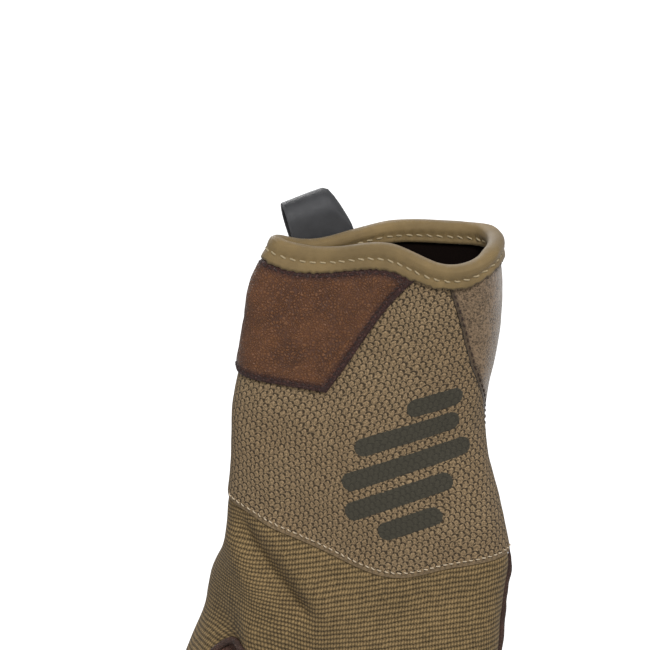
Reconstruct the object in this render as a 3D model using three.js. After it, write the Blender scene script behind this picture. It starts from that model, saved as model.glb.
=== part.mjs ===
// A left-hand tactical glove that hangs fingers down from the loop at its cuff.
// It is sewn from a ribbed knit back, a leather palm, a mesh cuff, a suede palm heel, a leather wrist tab,
// a bound rim, a leather thumb-web patch and a rubbered hang loop. All of it is hollow, as the real one is.
// Millimetres. +X is the little-finger side, -Y the back of the hand, +Z up.
// The origin is the crown of the hang loop's eye, where a hook bears.
import * as THREE from "three";

// Wall thicknesses of the cloths and leathers, and the gap left at each sewn joint.
const KNIT_WALL = 1.8;
const PALM_WALL = 1.5;
const WEB_WALL = 1.3;
const MESH_WALL = 2.2;
const HEEL_WALL = 2.0;
const TAB_WALL = 1.3;
const BINDING_WALL = 1.0;
const SEAM_GAP = 0.32;

// Wrist tab and rim binding.
const BINDING_DROP = 5.7;
const BINDING_INNER_DROP = 3.8;
const BINDING_CROWN = 1.5;
const TAB_LIFT = 0.35;

// Hang loop: a strap folded over into an eye, its two legs sewn together on the palm side of the rim.
const LOOP_WIDTH = 19;
const LOOP_STRAP = 1.2;
const LOOP_EYE_HALF = 4;
const LOOP_EYE_DEPTH = 13;
const LOOP_FOOT = 31;
const LOOP_ROLL = 0.14;
const LOOP_YAW = 0.19;

// The hand tube has 20 columns: 0 is the thumb-side seam, 1 to 9 run across the back of the hand,
// 10 is the little-finger seam, and 11 to 19 run back across the palm.
const COLUMNS = 20;
const BACK_COLUMNS = 9;
const LITTLE_SEAM = 10;
// Where each back column stands across the hand, from the thumb side (0) to the little-finger side (1).
const ACROSS = [0, 0.03, 0.13, 0.256, 0.383, 0.51, 0.635, 0.76, 0.88, 0.965, 1];
const EDGE_ROUNDNESS = 3.6;
const SPLINE_SWELL = 1.03; // a B-spline lies inside its net, so the net is made this much wider

// Rows of the tube. at runs 0 to 1 from the rim to the knit's seam, then 1 to 2 from there to the finger crotches.
// left and right are the silhouette in X; leftY and rightY are the side seams in Y; back and palm are
// how far each face bulges from the line between the seams, at the thumb side, middle and little-finger side.
const TUBE_ROWS = [
  { at: 0.0, left: -13.2, right: 54.4, leftY: -14.2, rightY: -16.2, backL: 4.8, backM: 10.5, backR: 20.0, palmL: 6.4, palmM: 12.0, palmR: 14.0 },
  { at: 0.11, left: -18.0, right: 55.6, leftY: -15.2, rightY: -16.2, backL: 5.2, backM: 11.5, backR: 18.5, palmL: 7.4, palmM: 12.5, palmR: 13.5 },
  { at: 0.24, left: -20.2, right: 55.6, leftY: -16.2, rightY: -16.2, backL: 6.5, backM: 12.3, backR: 16.5, palmL: 8.4, palmM: 12.5, palmR: 12.5 },
  { at: 0.4, left: -21.6, right: 52.9, leftY: -16.7, rightY: -17.2, backL: 8.2, backM: 13.0, backR: 14.0, palmL: 9.2, palmM: 12.4, palmR: 11.2 },
  { at: 0.55, left: -24.4, right: 50.0, leftY: -17.2, rightY: -17.2, backL: 9.6, backM: 13.6, backR: 12.6, palmL: 10.0, palmM: 12.4, palmR: 10.8 },
  { at: 0.7, left: -26.6, right: 51.6, leftY: -17.7, rightY: -18.2, backL: 10.4, backM: 13.8, backR: 12.0, palmL: 11.2, palmM: 13.2, palmR: 11.2 },
  { at: 0.86, left: -26.2, right: 55.8, leftY: -18.2, rightY: -18.7, backL: 10.8, backM: 13.6, backR: 12.0, palmL: 12.4, palmM: 14.0, palmR: 12.0 },
  { at: 1.0, left: -27.4, right: 58.9, leftY: -18.2, rightY: -18.7, backL: 10.8, backM: 13.2, backR: 12.0, palmL: 13.4, palmM: 14.4, palmR: 12.6 },
  { at: 1.19, left: -27.6, right: 57.3, leftY: -18.2, rightY: -18.7, backL: 10.8, backM: 13.0, backR: 11.8, palmL: 14.0, palmM: 14.4, palmR: 12.8 },
  { at: 1.38, left: -26.6, right: 55.8, leftY: -18.2, rightY: -18.7, backL: 10.8, backM: 12.8, backR: 11.6, palmL: 14.0, palmM: 14.0, palmR: 12.4 },
  { at: 1.56, left: -24.2, right: 55.5, leftY: -18.2, rightY: -18.7, backL: 10.8, backM: 12.4, backR: 11.4, palmL: 12.8, palmM: 13.2, palmR: 11.6 },
  { at: 1.71, left: -23.2, right: 55.5, leftY: -18.2, rightY: -18.7, backL: 10.8, backM: 12.2, backR: 11.2, palmL: 11.8, palmM: 12.4, palmR: 11.0 },
  { at: 1.86, left: -26.8, right: 55.7, leftY: -18.2, rightY: -18.7, backL: 10.6, backM: 11.8, backR: 10.8, palmL: 10.8, palmM: 11.4, palmR: 10.2 },
  { at: 2.0, left: -31.5, right: 56.0, leftY: -18.2, rightY: -18.7, backL: 10.2, backM: 10.8, backR: 10.0, palmL: 10.0, palmM: 10.4, palmR: 9.6 },
];
const SEAM_ROW = 7;
const THUMB_ROW = 8; // the thumb grows from the hole between this row and two rows on

// Heights of the three edges that the rows run between, across the hand. The knit's seam dips to a V on the back.
const EDGE_HEIGHTS = [
  { u: 0.0, rimBack: -8.0, rimPalm: -8.0, seamBack: -85.0, seamPalm: -84, forkBack: -168, forkPalm: -168 },
  { u: 0.06, rimBack: -10.1, rimPalm: -10.2, seamBack: -88.5, seamPalm: -84, forkBack: -170, forkPalm: -169 },
  { u: 0.13, rimBack: -10.9, rimPalm: -11.6, seamBack: -91.5, seamPalm: -85, forkBack: -171, forkPalm: -170 },
  { u: 0.26, rimBack: -11.0, rimPalm: -10.6, seamBack: -96.5, seamPalm: -86, forkBack: -171, forkPalm: -170 },
  { u: 0.4, rimBack: -8.7, rimPalm: -8.2, seamBack: -102.5, seamPalm: -87, forkBack: -174, forkPalm: -173 },
  { u: 0.51, rimBack: -7.2, rimPalm: -7.2, seamBack: -108.2, seamPalm: -88, forkBack: -173, forkPalm: -172 },
  { u: 0.635, rimBack: -10.8, rimPalm: -7.2, seamBack: -109.9, seamPalm: -90, forkBack: -173, forkPalm: -172 },
  { u: 0.76, rimBack: -13.0, rimPalm: -7.9, seamBack: -106.4, seamPalm: -94, forkBack: -169, forkPalm: -168 },
  { u: 0.88, rimBack: -11.4, rimPalm: -7.9, seamBack: -105.4, seamPalm: -99, forkBack: -167, forkPalm: -166 },
  { u: 0.95, rimBack: -8.2, rimPalm: -7.6, seamBack: -104.4, seamPalm: -101.5, forkBack: -166, forkPalm: -165 },
  { u: 1.0, rimBack: -7.1, rimPalm: -7.1, seamBack: -103.5, seamPalm: -103.5, forkBack: -164, forkPalm: -164 },
];

// Fingers. column is the first of the three back columns that each grows from.
const FINGERS = [
  { name: "index", column: 1, tipX: -27.0, tipY: -10.0, tipZ: -239, halfWidth: 10.6, halfDepth: 9.0 },
  { name: "middle", column: 3, tipX: 0.5, tipY: -8.5, tipZ: -252, halfWidth: 10.6, halfDepth: 9.2 },
  { name: "ring", column: 5, tipX: 28.0, tipY: -8.5, tipZ: -245, halfWidth: 10.4, halfDepth: 9.0 },
  { name: "little", column: 7, tipX: 55.0, tipY: -8.5, tipZ: -224, halfWidth: 9.6, halfDepth: 8.4 },
];
const FINGER_ROWS = [
  { along: 0.13, width: 1.0, depth: 1.0 },
  { along: 0.32, width: 1.0, depth: 1.0 },
  { along: 0.52, width: 0.99, depth: 0.97 },
  { along: 0.72, width: 0.96, depth: 0.92 },
  { along: 0.89, width: 0.86, depth: 0.8 },
  { along: 0.985, width: 0.56, depth: 0.5 },
];
const RING_SWELL = 1.14;

// The thumb lies turned edge on to the back of the hand. turn is that turn, in radians, and slant is how much
// further down the ring's inner side stands than its centre.
const THUMB_ROWS = [
  { x: -28.8, y: -7.6, z: -124, halfWidth: 12.4, halfDepth: 5.4, turn: 1.15, slant: 9 },
  { x: -31.6, y: -6.2, z: -136, halfWidth: 11.6, halfDepth: 5.8, turn: 1.28, slant: 4 },
  { x: -34.6, y: -4.6, z: -148, halfWidth: 11.4, halfDepth: 6.8, turn: 1.3, slant: 1 },
  { x: -37.8, y: -3.0, z: -160, halfWidth: 11.2, halfDepth: 7.2, turn: 1.3, slant: 0 },
  { x: -40.8, y: -1.4, z: -172, halfWidth: 10.6, halfDepth: 7.2, turn: 1.3, slant: 0 },
  { x: -43.2, y: 0.2, z: -182, halfWidth: 9.0, halfDepth: 6.2, turn: 1.3, slant: 0 },
  { x: -44.6, y: 1.2, z: -189.5, halfWidth: 5.6, halfDepth: 4.0, turn: 1.3, slant: 0 },
];
const THUMB_TIP = new THREE.Vector3(-45.2, 1.6, -191.5);

// Folds pressed into the back of the hand, each a straight valley or ridge with soft sides.
const FOLDS = [
  { fromX: -24, fromZ: -90, toX: -5, toZ: -124, width: 7, sink: 1.6 },
  { fromX: -17, fromZ: -92, toX: 2, toZ: -128, width: 8, sink: -1.2 },
  { fromX: 44, fromZ: -112, toX: 20, toZ: -126, width: 8, sink: 0.7 },
  { fromX: 39, fromZ: -20, toX: 46, toZ: -52, width: 4, sink: 0.8 },
];

// The suede's front edge on the back of the cuff: v runs from rim to seam, and around counts columns.
const HEEL_EDGE = [
  { v: 0.0, around: 6.9 },
  { v: 0.1, around: 7.12 },
  { v: 0.2, around: 7.42 },
  { v: 0.3, around: 7.75 },
  { v: 0.38, around: 8.15 },
  { v: 0.45, around: 8.7 },
  { v: 0.52, around: 9.4 },
  { v: 0.6, around: 10.0 },
  { v: 0.7, around: 10.3 },
  { v: 1.0, around: 10.3 },
];

const lerp = THREE.MathUtils.lerp;
const clamp = THREE.MathUtils.clamp;

// Straight-line reading of a table's column between its rows.
function readTable(table, key, at, column) {
  const last = table.length - 1;
  if (at <= table[0][key]) return table[0][column];
  for (let i = 0; i < last; i++) {
    const low = table[i];
    const high = table[i + 1];
    if (at <= high[key]) return lerp(low[column], high[column], (at - low[key]) / (high[key] - low[key]));
  }
  return table[last][column];
}

// A face's bulge across the hand: three stated depths, rounded off to nothing at the side seams.
function bulge(u, left, middle, right) {
  const depth = u < 0.5
    ? lerp(left, middle, clamp((u - 0.2) / 0.3, 0, 1))
    : lerp(middle, right, clamp((u - 0.5) / 0.3, 0, 1));
  return depth * Math.pow(1 - Math.pow(Math.abs(2 * u - 1), EDGE_ROUNDNESS), 1 / EDGE_ROUNDNESS);
}

// One point of the hand tube's control net.
function netPoint(row, column) {
  const onBack = column <= LITTLE_SEAM;
  const u = ACROSS[onBack ? column : COLUMNS - column];
  const middle = (row.left + row.right) / 2;
  const x = middle + (lerp(row.left, row.right, u) - middle) * SPLINE_SWELL;
  const seamY = lerp(row.leftY, row.rightY, u);
  const y = onBack
    ? seamY - bulge(u, row.backL, row.backM, row.backR)
    : seamY + bulge(u, row.palmL, row.palmM, row.palmR);
  const side = onBack ? "Back" : "Palm";
  const rim = readTable(EDGE_HEIGHTS, "u", u, "rim" + side);
  const seam = readTable(EDGE_HEIGHTS, "u", u, "seam" + side);
  const fork = readTable(EDGE_HEIGHTS, "u", u, "fork" + side);
  const z = row.at < 1 ? lerp(rim, seam, row.at) : lerp(seam, fork, row.at - 1);
  return new THREE.Vector3(x, y, z);
}

const net = TUBE_ROWS.map((row) => Array.from({ length: COLUMNS }, (_, column) => netPoint(row, column)));

// The net with its rim row mirrored out by one, so that the surface starts at the rim.
function netAt(rowIndex, column) {
  const c = ((column % COLUMNS) + COLUMNS) % COLUMNS;
  if (rowIndex >= 0) return net[rowIndex][c];
  return net[0][c].clone().multiplyScalar(2).sub(net[1][c]);
}

function splineWeights(t) {
  const s = 1 - t;
  return [s * s * s / 6, (3 * t * t * t - 6 * t * t + 4) / 6, (3 * s * s * s - 6 * s * s + 4) / 6, t * t * t / 6];
}

// A point of the cuff's B-spline surface. around counts columns and down counts rows.
function cuffPoint(around, down) {
  const column = Math.floor(around);
  const rowIndex = Math.min(Math.floor(down), SEAM_ROW - 1);
  const across = splineWeights(around - column);
  const along = splineWeights(down - rowIndex);
  const point = new THREE.Vector3();
  for (let i = 0; i < 4; i++) {
    for (let j = 0; j < 4; j++) {
      point.addScaledVector(netAt(rowIndex + i - 1, column + j - 1), along[i] * across[j]);
    }
  }
  return point;
}

// How far the folds push the surface in at a place on the back of the hand.
function foldDepth(point, normal) {
  let depth = 0;
  for (const fold of FOLDS) {
    const along = new THREE.Vector2(fold.toX - fold.fromX, fold.toZ - fold.fromZ);
    const offset = new THREE.Vector2(point.x - fold.fromX, point.z - fold.fromZ);
    const share = offset.dot(along) / along.lengthSq();
    const across = Math.abs(offset.cross(along)) / along.length();
    const ends = clamp(Math.min(share + 0.15, 1.15 - share) / 0.3, 0, 1);
    depth += fold.sink * ends * Math.exp(-((across / fold.width) ** 2));
  }
  return depth * clamp(-normal.y, 0, 1);
}

// A point of the finished cuff, lifted from its outer face by height along the normal.
function cuffSkin(around, down, height) {
  const step = 0.02;
  const point = cuffPoint(around, down);
  const alongAround = cuffPoint(around + step, down).sub(cuffPoint(around - step, down));
  const upper = Math.max(down - step, 0);
  const alongDown = cuffPoint(around, Math.min(down + step, SEAM_ROW)).sub(cuffPoint(around, upper));
  const normal = alongDown.cross(alongAround).normalize();
  return point.addScaledVector(normal, height - foldDepth(point, normal));
}

// The row value at a given distance down the cuff from the rim, along one column.
function downForDrop(around, drop) {
  const rim = cuffPoint(around, 0);
  let low = 0;
  let high = SEAM_ROW;
  for (let i = 0; i < 24; i++) {
    const middle = (low + high) / 2;
    if (rim.distanceTo(cuffPoint(around, middle)) < drop) low = middle;
    else high = middle;
  }
  return (low + high) / 2;
}

// The row value at a given height along one column.
function downForHeight(around, z) {
  let low = 0;
  let high = SEAM_ROW;
  for (let i = 0; i < 24; i++) {
    const middle = (low + high) / 2;
    if (cuffPoint(around, middle).z > z) low = middle;
    else high = middle;
  }
  return (low + high) / 2;
}

// A closed solid from a list of outer points, the matching inner points and the faces on the outer side.
function shellGeometry(outer, inner, faces) {
  const count = outer.length;
  const index = [];
  const edges = new Map();
  for (const face of faces) {
    for (let i = 1; i + 1 < face.length; i++) {
      index.push(face[0], face[i], face[i + 1]);
      index.push(face[0] + count, face[i + 1] + count, face[i] + count);
    }
    face.forEach((from, i) => {
      const to = face[(i + 1) % face.length];
      if (!edges.delete(to + ">" + from)) edges.set(from + ">" + to, [from, to]);
    });
  }
  for (const [from, to] of edges.values()) {
    index.push(to, from, from + count);
    index.push(to, from + count, to + count);
  }
  const geometry = new THREE.BufferGeometry();
  const positions = [...outer, ...inner].flatMap((p) => [p.x, p.y, p.z]);
  geometry.setAttribute("position", new THREE.Float32BufferAttribute(positions, 3));
  geometry.setIndex(index);
  geometry.computeVertexNormals();
  return geometry;
}

// A panel of the cuff between two side edges and two end edges, each a function of the place along it.
function cuffPanel({ left, right, top, bottom, across, along, lift, wall }) {
  const outer = [];
  const inner = [];
  for (let i = 0; i <= along; i++) {
    const v = i / along;
    for (let j = 0; j <= across; j++) {
      const u = j / across;
      const around = lerp(left(v), right(v), u);
      const down = lerp(top(around), bottom(around), v);
      outer.push(cuffSkin(around, down, lift + wall));
      inner.push(cuffSkin(around, down, lift));
    }
  }
  const faces = [];
  for (let i = 0; i < along; i++) {
    for (let j = 0; j < across; j++) {
      const a = i * (across + 1) + j;
      const b = a + across + 1;
      faces.push([a, b, b + 1, a + 1]);
    }
  }
  return shellGeometry(outer, inner, faces);
}

// Catmull-Clark subdivision of faces that carry a panel's name.
function subdivide({ points, faces }) {
  const made = points.map((p) => p.clone());
  const edges = new Map();
  const facePoints = faces.map((face) => {
    const centre = new THREE.Vector3();
    face.corners.forEach((c) => centre.addScaledVector(points[c], 1 / face.corners.length));
    made.push(centre);
    return made.length - 1;
  });
  const keyOf = (a, b) => Math.min(a, b) + "-" + Math.max(a, b);
  faces.forEach((face, f) => {
    face.corners.forEach((a, i) => {
      const b = face.corners[(i + 1) % face.corners.length];
      const key = keyOf(a, b);
      if (!edges.has(key)) edges.set(key, { a, b, faces: [] });
      edges.get(key).faces.push(f);
    });
  });
  const around = points.map(() => ({ faces: [], edges: [] }));
  faces.forEach((face, f) => face.corners.forEach((c) => around[c].faces.push(f)));
  for (const edge of edges.values()) {
    const middle = points[edge.a].clone().add(points[edge.b]).multiplyScalar(0.5);
    around[edge.a].edges.push({ edge, middle });
    around[edge.b].edges.push({ edge, middle });
    const place = middle.clone();
    if (edge.faces.length === 2) {
      place.multiplyScalar(2).add(made[facePoints[edge.faces[0]]]).add(made[facePoints[edge.faces[1]]]);
      place.multiplyScalar(0.25);
    }
    edge.point = made.push(place) - 1;
  }
  points.forEach((point, p) => {
    const rim = around[p].edges.filter(({ edge }) => edge.faces.length === 1);
    if (rim.length) {
      made[p].copy(point).multiplyScalar(0.5);
      rim.forEach(({ middle }) => made[p].addScaledVector(middle, 0.25));
      return;
    }
    const n = around[p].edges.length;
    made[p].copy(point).multiplyScalar((n - 3) / n);
    around[p].faces.forEach((f) => made[p].addScaledVector(made[facePoints[f]], 1 / (n * n)));
    around[p].edges.forEach(({ middle }) => made[p].addScaledVector(middle, 2 / (n * n)));
  });
  const split = [];
  faces.forEach((face, f) => {
    const size = face.corners.length;
    face.corners.forEach((c, i) => {
      const next = edges.get(keyOf(c, face.corners[(i + 1) % size])).point;
      const previous = edges.get(keyOf(c, face.corners[(i + size - 1) % size])).point;
      split.push({ corners: [c, next, facePoints[f], previous], panel: face.panel });
    });
  });
  return { points: made, faces: split };
}

// Moves the points of an all-quad mesh to the limit of its subdivision.
function toLimit({ points, faces }) {
  const sums = points.map(() => ({ valence: 0, ring: new THREE.Vector3(), rim: [] }));
  const uses = new Map();
  for (const { corners } of faces) {
    corners.forEach((c, i) => {
      const next = corners[(i + 1) % 4];
      sums[c].valence++;
      sums[c].ring.addScaledVector(points[corners[(i + 2) % 4]], 1);
      sums[c].ring.addScaledVector(points[next], 2).addScaledVector(points[corners[(i + 3) % 4]], 2);
      if (!uses.delete(next + ">" + c)) uses.set(c + ">" + next, [c, next]);
    });
  }
  for (const [a, b] of uses.values()) {
    sums[a].rim.push(points[b]);
    sums[b].rim.push(points[a]);
  }
  return {
    faces,
    points: points.map((point, p) => {
      const { valence, ring, rim } = sums[p];
      if (rim.length === 2) return point.clone().multiplyScalar(4).add(rim[0]).add(rim[1]).multiplyScalar(1 / 6);
      return point.clone().multiplyScalar(valence * valence).add(ring).multiplyScalar(1 / (valence * (valence + 5)));
    }),
  };
}

// The control mesh of the hand below the cuff, with its fingers and thumb.
function handMesh() {
  const points = [];
  const faces = [];
  const add = (point) => points.push(point) - 1;
  // Two rows above the seam only steer the surface, and their faces have no panel.
  const firstRow = SEAM_ROW - 2;
  const rows = net.map((row, i) => (i < firstRow ? null : row.map((point) => add(point.clone()))));
  const panelOf = (column) => (column < LITTLE_SEAM ? "hand_back" : "palm");
  const hole = (i, column) => (i === THUMB_ROW || i === THUMB_ROW + 1) && (column === 0 || column === COLUMNS - 1);
  for (let i = firstRow; i + 1 < rows.length; i++) {
    for (let column = 0; column < COLUMNS; column++) {
      if (hole(i, column)) continue;
      const next = (column + 1) % COLUMNS;
      const web = i === THUMB_ROW + 2 && (column === 0 || column === COLUMNS - 1);
      const panel = i < SEAM_ROW ? "none" : web ? "thumb_web" : panelOf(column);
      faces.push({ corners: [rows[i][column], rows[i + 1][column], rows[i + 1][next], rows[i][next]], panel });
    }
  }
  // A closed ring of eight points joined to the next ring. Quads 0 to 3 are the back, 4 to 7 the front.
  const joinRings = (upper, lower, panels) => {
    upper.forEach((from, k) => {
      const next = (k + 1) % 8;
      faces.push({ corners: [from, lower[k], lower[next], upper[next]], panel: panels(k) });
    });
  };
  const capRing = (ring, tip, backPanel, frontPanel) => {
    const centre = add(tip);
    faces.push({ corners: [ring[0], centre, ring[2], ring[1]], panel: backPanel });
    faces.push({ corners: [centre, ring[4], ring[3], ring[2]], panel: backPanel });
    faces.push({ corners: [ring[0], ring[7], ring[6], centre], panel: frontPanel });
    faces.push({ corners: [centre, ring[6], ring[5], ring[4]], panel: frontPanel });
  };
  // Ring points go from the outer seam over the back to the inner seam and home under the front.
  const ringPoints = (centre, side, back) => [
    [-1, 0], [-0.7, 0.78], [0, 1], [0.7, 0.78], [1, 0], [0.7, -0.78], [0, -1], [-0.7, -0.78],
  ].map(([s, b]) => add(centre.clone().addScaledVector(side, s).addScaledVector(back, b)));

  const fork = rows[rows.length - 1];
  const crotches = FINGERS.slice(1).map(({ column }) => {
    const back = points[fork[column]];
    const front = points[fork[COLUMNS - column]];
    return add(back.clone().add(front).multiplyScalar(0.5));
  });
  FINGERS.forEach((finger, f) => {
    const { column } = finger;
    const outer = f === 0 ? fork[0] : crotches[f - 1];
    const inner = f === FINGERS.length - 1 ? fork[LITTLE_SEAM] : crotches[f];
    const front = [column + 2, column + 1, column].map((c) => fork[COLUMNS - c]);
    let ring = [outer, fork[column], fork[column + 1], fork[column + 2], inner, ...front];
    const start = points[fork[column + 1]].clone().add(points[fork[COLUMNS - column - 1]]).multiplyScalar(0.5);
    const tip = new THREE.Vector3(finger.tipX, finger.tipY, finger.tipZ);
    // The finger bends towards the palm as it goes down.
    const centreAt = (t) => new THREE.Vector3(lerp(start.x, tip.x, t), lerp(start.y, tip.y, t * t), lerp(start.z, tip.z, t));
    for (const row of FINGER_ROWS) {
      const centre = centreAt(row.along);
      const way = centreAt(row.along + 0.01).sub(centreAt(row.along - 0.01)).normalize();
      const side = new THREE.Vector3(1, 0, 0).addScaledVector(way, -way.x).normalize();
      const back = new THREE.Vector3().crossVectors(way, side).normalize();
      if (back.y > 0) back.negate();
      side.multiplyScalar(finger.halfWidth * row.width * RING_SWELL);
      back.multiplyScalar(finger.halfDepth * row.depth * RING_SWELL);
      const lower = ringPoints(centre, side, back);
      joinRings(ring, lower, (k) => (k < 4 ? "hand_back" : "palm"));
      ring = lower;
    }
    capRing(ring, tip, "hand_back", "palm");
  });

  // The thumb grows from the hole in the thumb-side seam.
  const at = (i, column) => rows[THUMB_ROW + i][(column + COLUMNS) % COLUMNS];
  let ring = [at(0, 0), at(0, 1), at(1, 1), at(2, 1), at(2, 0), at(2, -1), at(1, -1), at(0, -1)];
  THUMB_ROWS.forEach((row, r) => {
    const centre = new THREE.Vector3(row.x, row.y, row.z);
    const before = THUMB_ROWS[Math.max(r - 1, 0)];
    const after = THUMB_ROWS[Math.min(r + 1, THUMB_ROWS.length - 1)];
    const way = new THREE.Vector3(after.x - before.x, after.y - before.y, after.z - before.z).normalize();
    const flat = new THREE.Vector3(1, 0, 0).addScaledVector(way, -way.x).normalize();
    const facing = new THREE.Vector3().crossVectors(way, flat).normalize();
    if (facing.y > 0) facing.negate();
    const side = flat.clone().multiplyScalar(Math.cos(row.turn)).addScaledVector(facing, Math.sin(row.turn));
    const back = facing.clone().multiplyScalar(Math.cos(row.turn)).addScaledVector(flat, -Math.sin(row.turn));
    side.multiplyScalar(row.halfWidth * RING_SWELL).addScaledVector(way, row.slant);
    back.multiplyScalar(row.halfDepth * RING_SWELL);
    const lower = ringPoints(centre, side, back);
    const webbed = r < 2;
    joinRings(ring, lower, (k) => (webbed && (k === 3 || k === 4) ? "thumb_web" : k < 4 ? "hand_back" : "thumb_front"));
    ring = lower;
  });
  capRing(ring, THUMB_TIP, "hand_back", "thumb_front");
  return { points, faces };
}

// The finished hand surface, once subdivided, with its folds and an outward normal at each point.
function handSurface() {
  const { points, faces } = toLimit(subdivide(handMesh()));
  const normals = points.map(() => new THREE.Vector3());
  for (const { corners } of faces) {
    const [a, b, c, d] = corners.map((i) => points[i]);
    const normal = c.clone().sub(a).cross(d.clone().sub(b));
    corners.forEach((i) => normals[i].add(normal));
  }
  normals.forEach((normal) => normal.normalize());
  points.forEach((point, i) => point.addScaledVector(normals[i], -foldDepth(point, normals[i])));
  return { points, faces, normals };
}

// One panel of the hand as a solid wall, drawn in a little from its neighbours along its edges.
function handPanel(surface, panel, wall, gap) {
  const chosen = surface.faces.filter((face) => face.panel === panel).map((face) => face.corners);
  const uses = new Map();
  const inward = new Map();
  for (const corners of chosen) {
    const centre = new THREE.Vector3();
    corners.forEach((c) => centre.addScaledVector(surface.points[c], 1 / corners.length));
    corners.forEach((from, i) => {
      const to = corners[(i + 1) % corners.length];
      if (!uses.delete(to + ">" + from)) uses.set(from + ">" + to, [from, to]);
      if (!inward.has(from)) inward.set(from, new THREE.Vector3());
      inward.get(from).add(centre.clone().sub(surface.points[from]));
    });
  }
  const onEdge = new Set([...uses.values()].flat());
  const index = new Map();
  const outer = [];
  const inner = [];
  for (const [vertex, pull] of inward) {
    index.set(vertex, outer.length);
    const point = surface.points[vertex].clone();
    if (onEdge.has(vertex)) point.addScaledVector(pull.normalize(), gap);
    outer.push(point);
    inner.push(point.clone().addScaledVector(surface.normals[vertex], -wall));
  }
  return shellGeometry(outer, inner, chosen.map((corners) => corners.map((c) => index.get(c))));
}

// The folded tape round the rim: an outer leaf, a rounded crown and an inner leaf, closed into a ring.
function bindingGeometry() {
  const stations = 46;
  const wall = Math.max(MESH_WALL, HEEL_WALL);
  const outside = SEAM_GAP + BINDING_WALL;
  const inside = -wall - SEAM_GAP - BINDING_WALL;
  // drop is measured down from the rim, and height out from the cuff's outer face.
  const profile = [
    { drop: BINDING_DROP, height: SEAM_GAP },
    { drop: BINDING_DROP, height: outside },
    { drop: BINDING_DROP / 2, height: outside + 0.15 },
    { drop: 0, height: outside },
    { drop: -BINDING_CROWN * 0.75, height: outside - 0.6 },
    { drop: -BINDING_CROWN, height: -wall / 2 },
    { drop: -BINDING_CROWN * 0.75, height: inside + 0.6 },
    { drop: 0, height: inside },
    { drop: BINDING_INNER_DROP, height: inside },
    { drop: BINDING_INNER_DROP, height: inside + BINDING_WALL },
    { drop: -SEAM_GAP, height: inside + BINDING_WALL },
    { drop: -SEAM_GAP, height: SEAM_GAP },
  ];
  const points = [];
  for (let i = 0; i < stations; i++) {
    const around = (i * COLUMNS) / stations;
    const rise = cuffSkin(around, 0, 0).sub(cuffSkin(around, 0.3, 0)).normalize();
    for (const { drop, height } of profile) {
      const down = drop > 0 ? downForDrop(around, drop) : 0;
      points.push(cuffSkin(around, down, height).addScaledVector(rise, Math.max(-drop, 0)));
    }
  }
  const size = profile.length;
  const index = [];
  for (let i = 0; i < stations; i++) {
    const next = (i + 1) % stations;
    for (let k = 0; k < size; k++) {
      const a = i * size + k;
      const b = i * size + ((k + 1) % size);
      const c = next * size + ((k + 1) % size);
      const d = next * size + k;
      index.push(a, d, c, a, c, b);
    }
  }
  const geometry = new THREE.BufferGeometry();
  geometry.setAttribute("position", new THREE.Float32BufferAttribute(points.flatMap((p) => [p.x, p.y, p.z]), 3));
  geometry.setIndex(index);
  geometry.computeVertexNormals();
  return geometry;
}

// The strap's edge view in the Y-Z plane, extruded along X: a foot of two sewn layers under a D-shaped eye.
function loopGeometry() {
  const half = LOOP_EYE_HALF;
  const wall = LOOP_STRAP;
  const inside = -half - wall;
  const outline = new THREE.Shape();
  outline.moveTo(inside, -LOOP_FOOT);
  outline.lineTo(inside + 2 * wall, -LOOP_FOOT);
  outline.lineTo(inside + 2 * wall, -LOOP_EYE_DEPTH - wall);
  outline.bezierCurveTo(inside + 2.4 * wall, -LOOP_EYE_DEPTH, half + wall, -LOOP_EYE_DEPTH * 0.7, half + wall, -half);
  outline.absarc(0, -half, half + wall, 0, Math.PI, false);
  outline.lineTo(inside, -LOOP_FOOT);
  const eye = new THREE.Path();
  eye.moveTo(-half, -LOOP_EYE_DEPTH);
  eye.lineTo(-half, -half);
  eye.absarc(0, -half, half, Math.PI, 0, true);
  eye.bezierCurveTo(half, -LOOP_EYE_DEPTH * 0.65, -half + wall, -LOOP_EYE_DEPTH * 0.85, -half, -LOOP_EYE_DEPTH);
  outline.holes.push(eye);
  const geometry = new THREE.ExtrudeGeometry(outline, { depth: LOOP_WIDTH, bevelEnabled: false, curveSegments: 8 });
  geometry.translate(0, 0, -LOOP_WIDTH / 2);
  return geometry;
}

const cloth = (color, roughness) => new THREE.MeshStandardMaterial({ color, roughness, metalness: 0 });
const KNIT_CLOTH = cloth(0x837250, 0.9);
const MESH_CLOTH = cloth(0x8a7656, 0.9);
const BROWN_LEATHER = cloth(0x6b4433, 0.55);
const DARK_LEATHER = cloth(0x4a3028, 0.6);
const TAN_SUEDE = cloth(0x8a7460, 0.95);
const BINDING_TAPE = cloth(0x84724c, 0.7);
const LOOP_RUBBER = cloth(0x33353b, 0.5);

const glove = new THREE.Group();
function place(name, geometry, material) {
  const mesh = new THREE.Mesh(geometry, material);
  mesh.name = name;
  glove.add(mesh);
  return mesh;
}

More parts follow.
